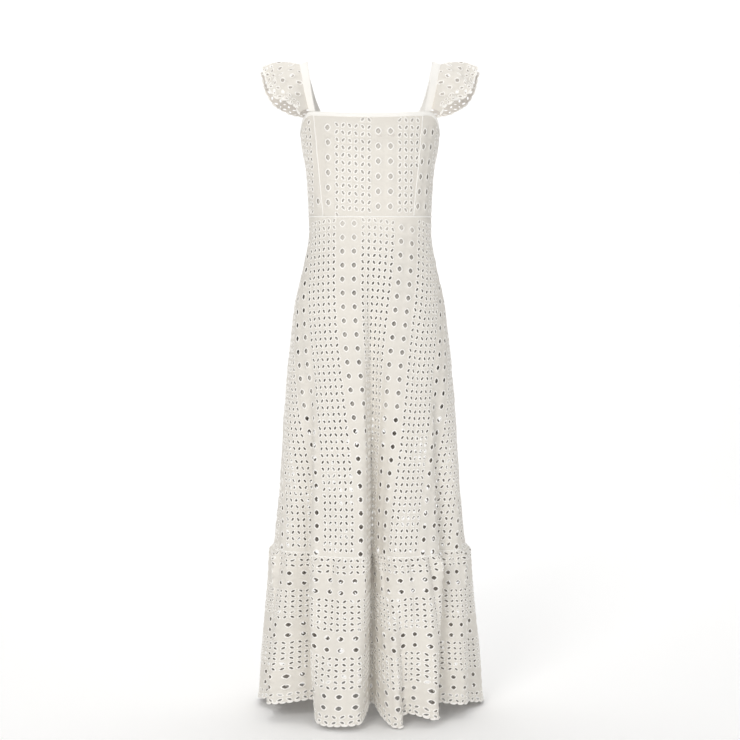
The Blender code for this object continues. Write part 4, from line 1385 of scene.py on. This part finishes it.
# %% The sewing tree
def sewing_tree():
    inputs = (
        ("Line", "Geometry", None),
        ("Part", "Object", None),
        ("Material", "Material", None),
        ("Spacing", "Float", 0.0030),
        ("Unevenness", "Float", 0.08),
        ("Seed", "Int", 7),
    )
    tree, start, end = new_tree("Sew along a line", inputs, "Sewn")
    given = start.outputs
    curve = add(tree, "GeometryNodeMeshToCurve", "line as a curve", {"Mesh": given["Line"]})
    even = add(
        tree, "GeometryNodeResampleCurve", "even steps",
        {"Curve": curve.outputs["Curve"], "Length": given["Spacing"]}, mode="LENGTH",
    )
    along = add(tree, "GeometryNodeInputTangent", "along the line").outputs["Tangent"]
    out = add(
        tree, "GeometryNodeInputNamedAttribute", "out of the cloth", {"Name": "out"},
        data_type="FLOAT_VECTOR",
    )
    turned = add(
        tree, "FunctionNodeAxesToRotation", "look along and out",
        {"Primary Axis": along, "Secondary Axis": out.outputs["Attribute"]},
        primary_axis="X", secondary_axis="Z",
    )
    size = add(tree, "FunctionNodeRandomValue", "size", {
        2: maths(tree, "SUBTRACT", 1.0, given["Unevenness"]),
        3: maths(tree, "ADD", 1.0, given["Unevenness"]),
        "Seed": given["Seed"],
    }, data_type="FLOAT")
    part = add(
        tree, "GeometryNodeObjectInfo", "small part", {"Object": given["Part"], "As Instance": True}
    )
    placed = add(tree, "GeometryNodeInstanceOnPoints", "set the parts", {
        "Points": even.outputs["Curve"],
        "Instance": part.outputs["Geometry"],
        "Rotation": turned.outputs["Rotation"],
        "Scale": size.outputs[1],
    })
    real = add(tree, "GeometryNodeRealizeInstances", "real parts", {0: placed.outputs["Instances"]})
    finish = add(
        tree, "GeometryNodeSetMaterial", "finish",
        {"Geometry": real.outputs[0], "Material": given["Material"]},
    )
    tree.links.new(finish.outputs["Geometry"], end.inputs["Sewn"])
    return tree


SEWING_TREE = sewing_tree()
print("nodes in the sewing tree:", len(SEWING_TREE.nodes))

# %% The small parts
def small_part(name, points, faces):
    mesh = new_mesh(name, points, faces)
    work = bmesh.new()
    work.from_mesh(mesh)
    bmesh.ops.recalc_face_normals(work, faces=work.faces)
    work.to_mesh(mesh)
    work.free()
    return new_object(name, mesh)


def stitch_part():
    """One stitch: a short thread that dives into the cloth at both ends."""
    end, middle = (0.0012, -0.0002, 0.00012), (0.0006, 0.0001, 0.00026)
    points = []
    for side, (x, z, r) in ((-1, end), (-1, middle), (1, middle), (1, end)):
        for t in np.linspace(0, 2 * math.pi, 6)[:-1]:
            points.append((side * x, r * math.cos(t), z + r * math.sin(t)))
    faces = grid_faces(4, 5, wrap=True) + [(4, 3, 2, 1, 0), (15, 16, 17, 18, 19)]
    return small_part("part_stitch", points, faces)


def picot_part():
    """One picot: a small half ring of thread that stands out from an edge, towards +Y."""
    points = []
    for t in np.linspace(0, math.pi, 6):
        for turn in np.linspace(0, 2 * math.pi, 5)[:-1]:
            reach = 0.0025 + 0.00065 * math.cos(turn)
            x, y = reach * math.cos(t), 0.9 * reach * math.sin(t) - 0.0004
            points.append((x, y, 0.0006 * math.sin(turn)))
    faces = grid_faces(6, 4, wrap=True) + [(3, 2, 1, 0), (20, 21, 22, 23)]
    return small_part("part_picot", points, faces)


def scallop_part(width, depth):
    """One scallop of an embroidered border: a thin half disc that hangs from an edge, towards -Y."""
    overlap = 0.0010
    points = []
    for z in (0.00055, -0.00055):
        points += [(0.0, 0.0012, z * 1.6)]
        for t in np.linspace(0, math.pi, 9):
            y = overlap - (depth + overlap) * math.sin(t) ** 0.8
            points.append((width / 2 * math.cos(t), y, z))
    back = 10
    faces = [(0, k, k + 1) for k in range(1, 9)] + [(back, back + k + 1, back + k) for k in range(1, 9)]
    faces += [(k + 1, k, k + back, k + 1 + back) for k in range(1, 9)]
    faces += [(1, 0, back, back + 1), (0, 9, back + 9, back)]
    return small_part("part_scallop", points, faces)


STITCH = stitch_part()
PICOT = picot_part()
SCALLOP = scallop_part(0.0152, 0.0030)
SMALL_PARTS = (STITCH, PICOT, SCALLOP)
print("faces in each part:", {part.name: len(part.data.polygons) for part in SMALL_PARTS})

# %% Sew a part along lines, and lay a tube along one
def sew(name, lines, part, spacing, seed=7, unevenness=0.08):
    """lines is a list of pairs: the points of a line, and which way is out of the cloth there."""
    points = np.concatenate([line for line, _ in lines])
    edges, first = [], 0
    for line, _ in lines:
        edges += [(first + k, first + k + 1) for k in range(len(line) - 1)]
        first += len(line)
    mesh = new_mesh(name, points.tolist(), [], edges)
    out = np.concatenate([out for _, out in lines]).astype(np.float32)
    mesh.attributes.new("out", "FLOAT_VECTOR", "POINT").data.foreach_set("vector", out.ravel())
    guide = new_object(name + "_guide", mesh)
    values = {"Part": part, "Material": thread_white}
    values |= {"Spacing": spacing, "Unevenness": unevenness, "Seed": seed}
    sewn = run_tree(guide, SEWING_TREE, values)
    bpy.data.objects.remove(guide)
    flat = points_of(sewn)
    store_cloth_uv(sewn, flat[:, 0], flat[:, 2])
    sew_in(finish_piece(name, sewn, thread_white, 50), ())
    parts = len(sewn.vertices) // len(part.data.vertices)
    print(name, "parts:", parts, "triangles:", triangles_of(sewn))


def tube(line, out, radius, flat=1.0, count=7):
    """Rings of a rounded tube along a line, flattened by flat along out."""
    run = unit(np.gradient(line, axis=0))
    across = unit(np.cross(run, out))
    up = np.cross(across, run)
    ring = []
    for t in np.linspace(0, 2 * math.pi, count + 1)[:-1]:
        ring.append(line + radius * (across * math.cos(t) + up * math.sin(t) * flat))
    return np.stack(ring, axis=1)


# %% [markdown]
# ## Seams and borders
# The seams show as thin raised lines with a row of stitches beside them, because the turned cloth
# behind makes them stand up. They could be a bump in the material, but a bump throws no shadow, so
# each is a thin flattened tube with real stitches. The hem and the free edges of the ruffles end
# in an embroidered border of small scallops, which the same tree sets along the edge.

# %% Seam ridges at the waist, the flounce and the bodice
ROUND = np.linspace(-math.pi, math.pi, 721)


def ring_line(height, out):
    points = on_ring(ROUND, cloth_radius(ROUND, np.full(len(ROUND), height)) + out, height)
    return points, away_from_axis(points)


def closed_ridge(name, height, radius, out, squash):
    line, outward = ring_line(height, out)
    mesh = ringed_mesh(name, tube(line, outward, radius, squash), ROUND * 0.2, 0.01)
    clean(mesh)
    sew_in(finish_piece(name, mesh, band_white, 70), ())
    print(name, "triangles:", triangles_of(mesh))


closed_ridge("waist_seam_ridge", WAIST + 0.0008, 0.0017, 0.0003, 0.8)
closed_ridge("flounce_seam_ridge", FLOUNCE_SEAM + 0.0006, 0.0012, 0.0001, 0.8)


def bodice_seam_line(side):
    heights = BODICE_HEIGHTS[BODICE_HEIGHTS < PRINCESS_TOP]
    angle = np.interp(heights, BODICE_HEIGHTS, PRINCESS_ANGLES[side])
    points = on_ring(angle, cloth_radius(angle, heights), heights)
    return points, away_from_axis(points)


for name, side in SIDES:
    line, out = bodice_seam_line(side)
    made = swept("princess_seam_" + name, tube(line, out, 0.0013, 0.9), band_white, line[:, 2])
    sew_in(made, ())

# %% Stitches beside the seams and along the bindings
STITCH_SPACING = 0.0034
PICOT_SPACING = 0.0086
BESIDE_SEAM = 0.0040


def band_stitch_line(first, last):
    turns = np.radians(np.linspace(first, last, 200))
    base = top_edge(turns) - BAND_DEPTH
    points = on_ring(turns, cloth_radius(turns, base) + 0.0011, base + 0.0014)
    return points, away_from_axis(points)


def strap_line(side, share, lift):
    middle, across, out = strap_frames(STRAP_SAMPLES[4:-4])
    points = to_side(middle + across * STRAP_WIDTH * share + out * lift, side)
    return points, to_side(out, side)


stitch_lines = [ring_line(seam + BESIDE_SEAM, 0.0002) for seam in (FLOUNCE_SEAM, WAIST)]
stitch_lines += [band_stitch_line(first, last) for _, first, last in BAND_STOPS]
stitch_lines += [strap_line(side, share, 0.0010) for _, side in SIDES for share in (-0.40, 0.40)]
sew("seam_stitches", stitch_lines, STITCH, STITCH_SPACING)


def picot_line(side):
    """The picot edge stands out of the strap's inner edge, so its parts look that way."""
    points, out = strap_line(side, -0.5, 0.0)
    return (points, out) if side > 0 else (points[::-1], out)


picot_lines = [picot_line(side) for _, side in SIDES]
sew("strap_picots", picot_lines, PICOT, PICOT_SPACING, seed=3)

# %% Scalloped borders of the hem and the ruffles
def border_line(place, a, b, flip):
    points = place(a, b)
    normal = surface_normal(place, np.maximum(a, 0.0015), b)
    normal *= math.copysign(1.0, float(np.sum(normal * away_from_axis(points))))
    return (points[::-1], normal[::-1]) if flip else (points, normal)


INSIDE_EDGE = 0.0004
HEM_STEPS = np.linspace(-HALF_CUT + 0.001, HALF_CUT - 0.001, 900)
hem_lines = []
for start in (CENTRE_FRONT, CENTRE_BACK):
    at_edge = np.full(len(HEM_STEPS), INSIDE_EDGE)
    hem_lines.append(border_line(on_flounce(start), at_edge, HEM_STEPS, False))
sew("hem_scallops", hem_lines, SCALLOP, CELL_ALONG, seed=5, unevenness=0.04)

RUFFLE_STEPS = np.linspace(0.004, RUFFLE_LENGTH - 0.004, 500)
ruffle_lines = []
for _, side in SIDES:
    at_edge = np.full(len(RUFFLE_STEPS), INSIDE_EDGE)
    ruffle_lines.append(border_line(ruffle_surface(side), at_edge, RUFFLE_STEPS, side < 0))
sew("ruffle_scallops", ruffle_lines, SCALLOP, CELL_ALONG, seed=9, unevenness=0.04)

for pattern in (*TILES.values(), *SMALL_PARTS):
    bpy.data.objects.remove(pattern)

# %% [markdown]
# ## The zip
# A concealed zip closes the back from the neck to below the waist. When it is shut only the two
# folded edges that meet over it can be seen, and the small pull of its slider at the top. Teeth
# could be set one by one behind the folds, but nobody would see them. So only the two edges are
# made, as one outline carried down the back for each, and the slider stays parked at the top.

# %% Outlines of the lips and the pull
zip_white = cotton("zip_tape_white", (0.82, 0.81, 0.79, 1), (0.78, 0.77, 0.75, 1), 0.55, 0.0, 2600)
ZIP_STEPS = 90
LIP_PROFILE = (
    (0.00004, 0.0002), (0.0006, 0.0008), (0.0016, 0.0009), (0.0027, 0.0003), (0.0027, -0.0008),
    (0.00004, -0.0008),
)
PULL_OUTLINE = ((0.0010, 0.003), (0.0016, 0.0), (0.0021, -0.009), (0.0014, -0.014), (0.0, -0.0155))


def rod(rows, columns, first):
    """Faces of a closed rod with a ring of points at each row."""
    last = first + (rows - 1) * columns
    ends = [tuple(range(first, first + columns)), tuple(range(last, last + columns))]
    return grid_faces(rows, columns, first, wrap=True) + ends

# %% Two lips and the slider's pull
def zip_lips():
    heights = np.linspace(float(top_edge(np.array(CENTRE_BACK))) - 0.001, ZIP_END + 0.001, ZIP_STEPS)
    radius = cloth_radius(np.full(ZIP_STEPS, CENTRE_BACK), heights)
    points, faces = [], []
    for side in (-1, 1):
        faces += rod(ZIP_STEPS, len(LIP_PROFILE), len(points))
        for z, r in zip(heights, radius):
            points += [(side * x, r + y, z) for x, y in LIP_PROFILE]
    top = float(heights[0]) - 0.010
    at = float(np.interp(-top, -heights, radius)) + 0.0012
    pull = list(PULL_OUTLINE) + [(-x, z) for x, z in PULL_OUTLINE[-2::-1]]
    faces += rod(2, len(pull), len(points))
    for y in (0.0, 0.0011):
        points += [(x, at + y, top + z) for x, z in pull]
    part = small_part("back_zip_lips", points, faces)
    spots = points_of(part.data)
    store_cloth_uv(part.data, spots[:, 0], spots[:, 2])
    part.data.materials.append(zip_white)
    part.data.shade_smooth()
    part.data.set_sharp_from_angle(angle=math.radians(40))
    return part


zip_piece = zip_lips()
sew_in(zip_piece, ("back_zip",))
print("zip from", round(float(top_edge(np.array(CENTRE_BACK))), 3), "to", ZIP_END)

# %% [markdown]
# ## Floor, light and camera
# The dress was photographed against white, from a few metres away and a little above its middle.
# One small lamp would bleach white cotton, and light from all round would flatten it. So a broad
# soft light from the upper left shows the folds, a weaker one from the right opens their shadows,
# and a third brightens the pale sweep behind the dress.

# %% Camera
def look_at(made, target):
    made.rotation_euler = (Vector(target) - made.location).to_track_quat("-Z", "Y").to_euler()


camera_data = bpy.data.cameras.new("camera")
camera_data.lens = 86.0
camera_data.sensor_width = 36.0
camera = new_object("camera", camera_data)
camera.location = (0.0, -3.8, -0.330)
look_at(camera, (0.0, 0.0, -0.656))
bpy.context.scene.camera = camera
print("camera:", tuple(camera.location), "lens:", camera_data.lens, "mm")

# %% The sweep
FLOOR_HEIGHT = -1.3895
FLOOR_END = 2.4
BEND = 2.0


def sweep():
    """A floor that curves up into a wall behind the dress."""
    line = [(y, FLOOR_HEIGHT) for y in (-9.0, 0.0, FLOOR_END)]
    for t in np.linspace(0.1, math.pi / 2, 16):
        line.append((FLOOR_END + BEND * math.sin(t), FLOOR_HEIGHT + BEND - BEND * math.cos(t)))
    line.append((FLOOR_END + BEND, 6.0))
    points = [(x, y, z) for x in (-9.0, 9.0) for y, z in line]
    count = len(line)
    mesh = new_mesh("sweep", points, [(k, count + k, count + k + 1, k + 1) for k in range(count - 1)])
    mesh.shade_smooth()
    return new_object("sweep", mesh)


studio_sweep = sweep()
sweep_white, sweep_tree, sweep_shader = start_material("sweep_white", 0.95, 0.0)
paper_place = add(sweep_tree, "ShaderNodeTexCoord", "place").outputs["Object"]
paper = noise(sweep_tree, "paper tone", paper_place, 0.6, 2.0)
PAPER_TONES = ((0.965, 0.965, 0.965, 1), (0.98, 0.98, 0.98, 1))
paper_colour = mix_colours(sweep_tree, "paper white", paper, *PAPER_TONES)
sweep_tree.links.new(paper_colour, sweep_shader.inputs["Base Color"])
studio_sweep.data.materials.append(sweep_white)
print("floor at", FLOOR_HEIGHT)

# %% Lights
world = bpy.data.worlds.new("studio")
world.use_nodes = True
world.node_tree.nodes["Background"].inputs["Color"].default_value = (1.0, 0.995, 0.985, 1)
world.node_tree.nodes["Background"].inputs["Strength"].default_value = 0.50
bpy.context.scene.world = world

# name, place, where it looks, width in metres, watts, colour
LIGHTS = (
    ("key", (-1.3, -3.5, 0.9), (0, 0, -0.6), 1.4, 56, (1.0, 0.985, 0.965)),
    ("fill", (1.7, -3.3, -0.5), (0, 0, -1.0), 2.2, 20, (0.975, 0.985, 1.0)),
    ("wall", (0.0, 1.0, 3.4), (0, 4.4, 0.5), 3.0, 120, (1.0, 1.0, 1.0)),
)
for name, place, target, size, watts, colour in LIGHTS:
    data = bpy.data.lights.new(name, "AREA")
    data.shape = "DISK"
    data.size = size
    data.energy = watts
    data.color = colour
    lamp = new_object(name, data)
    lamp.location = place
    lamp.visible_camera = False
    look_at(lamp, target)
print("lights:", [light[0] for light in LIGHTS])

view_settings = bpy.context.scene.view_settings
view_settings.view_transform = "Standard"
view_settings.look = "None"
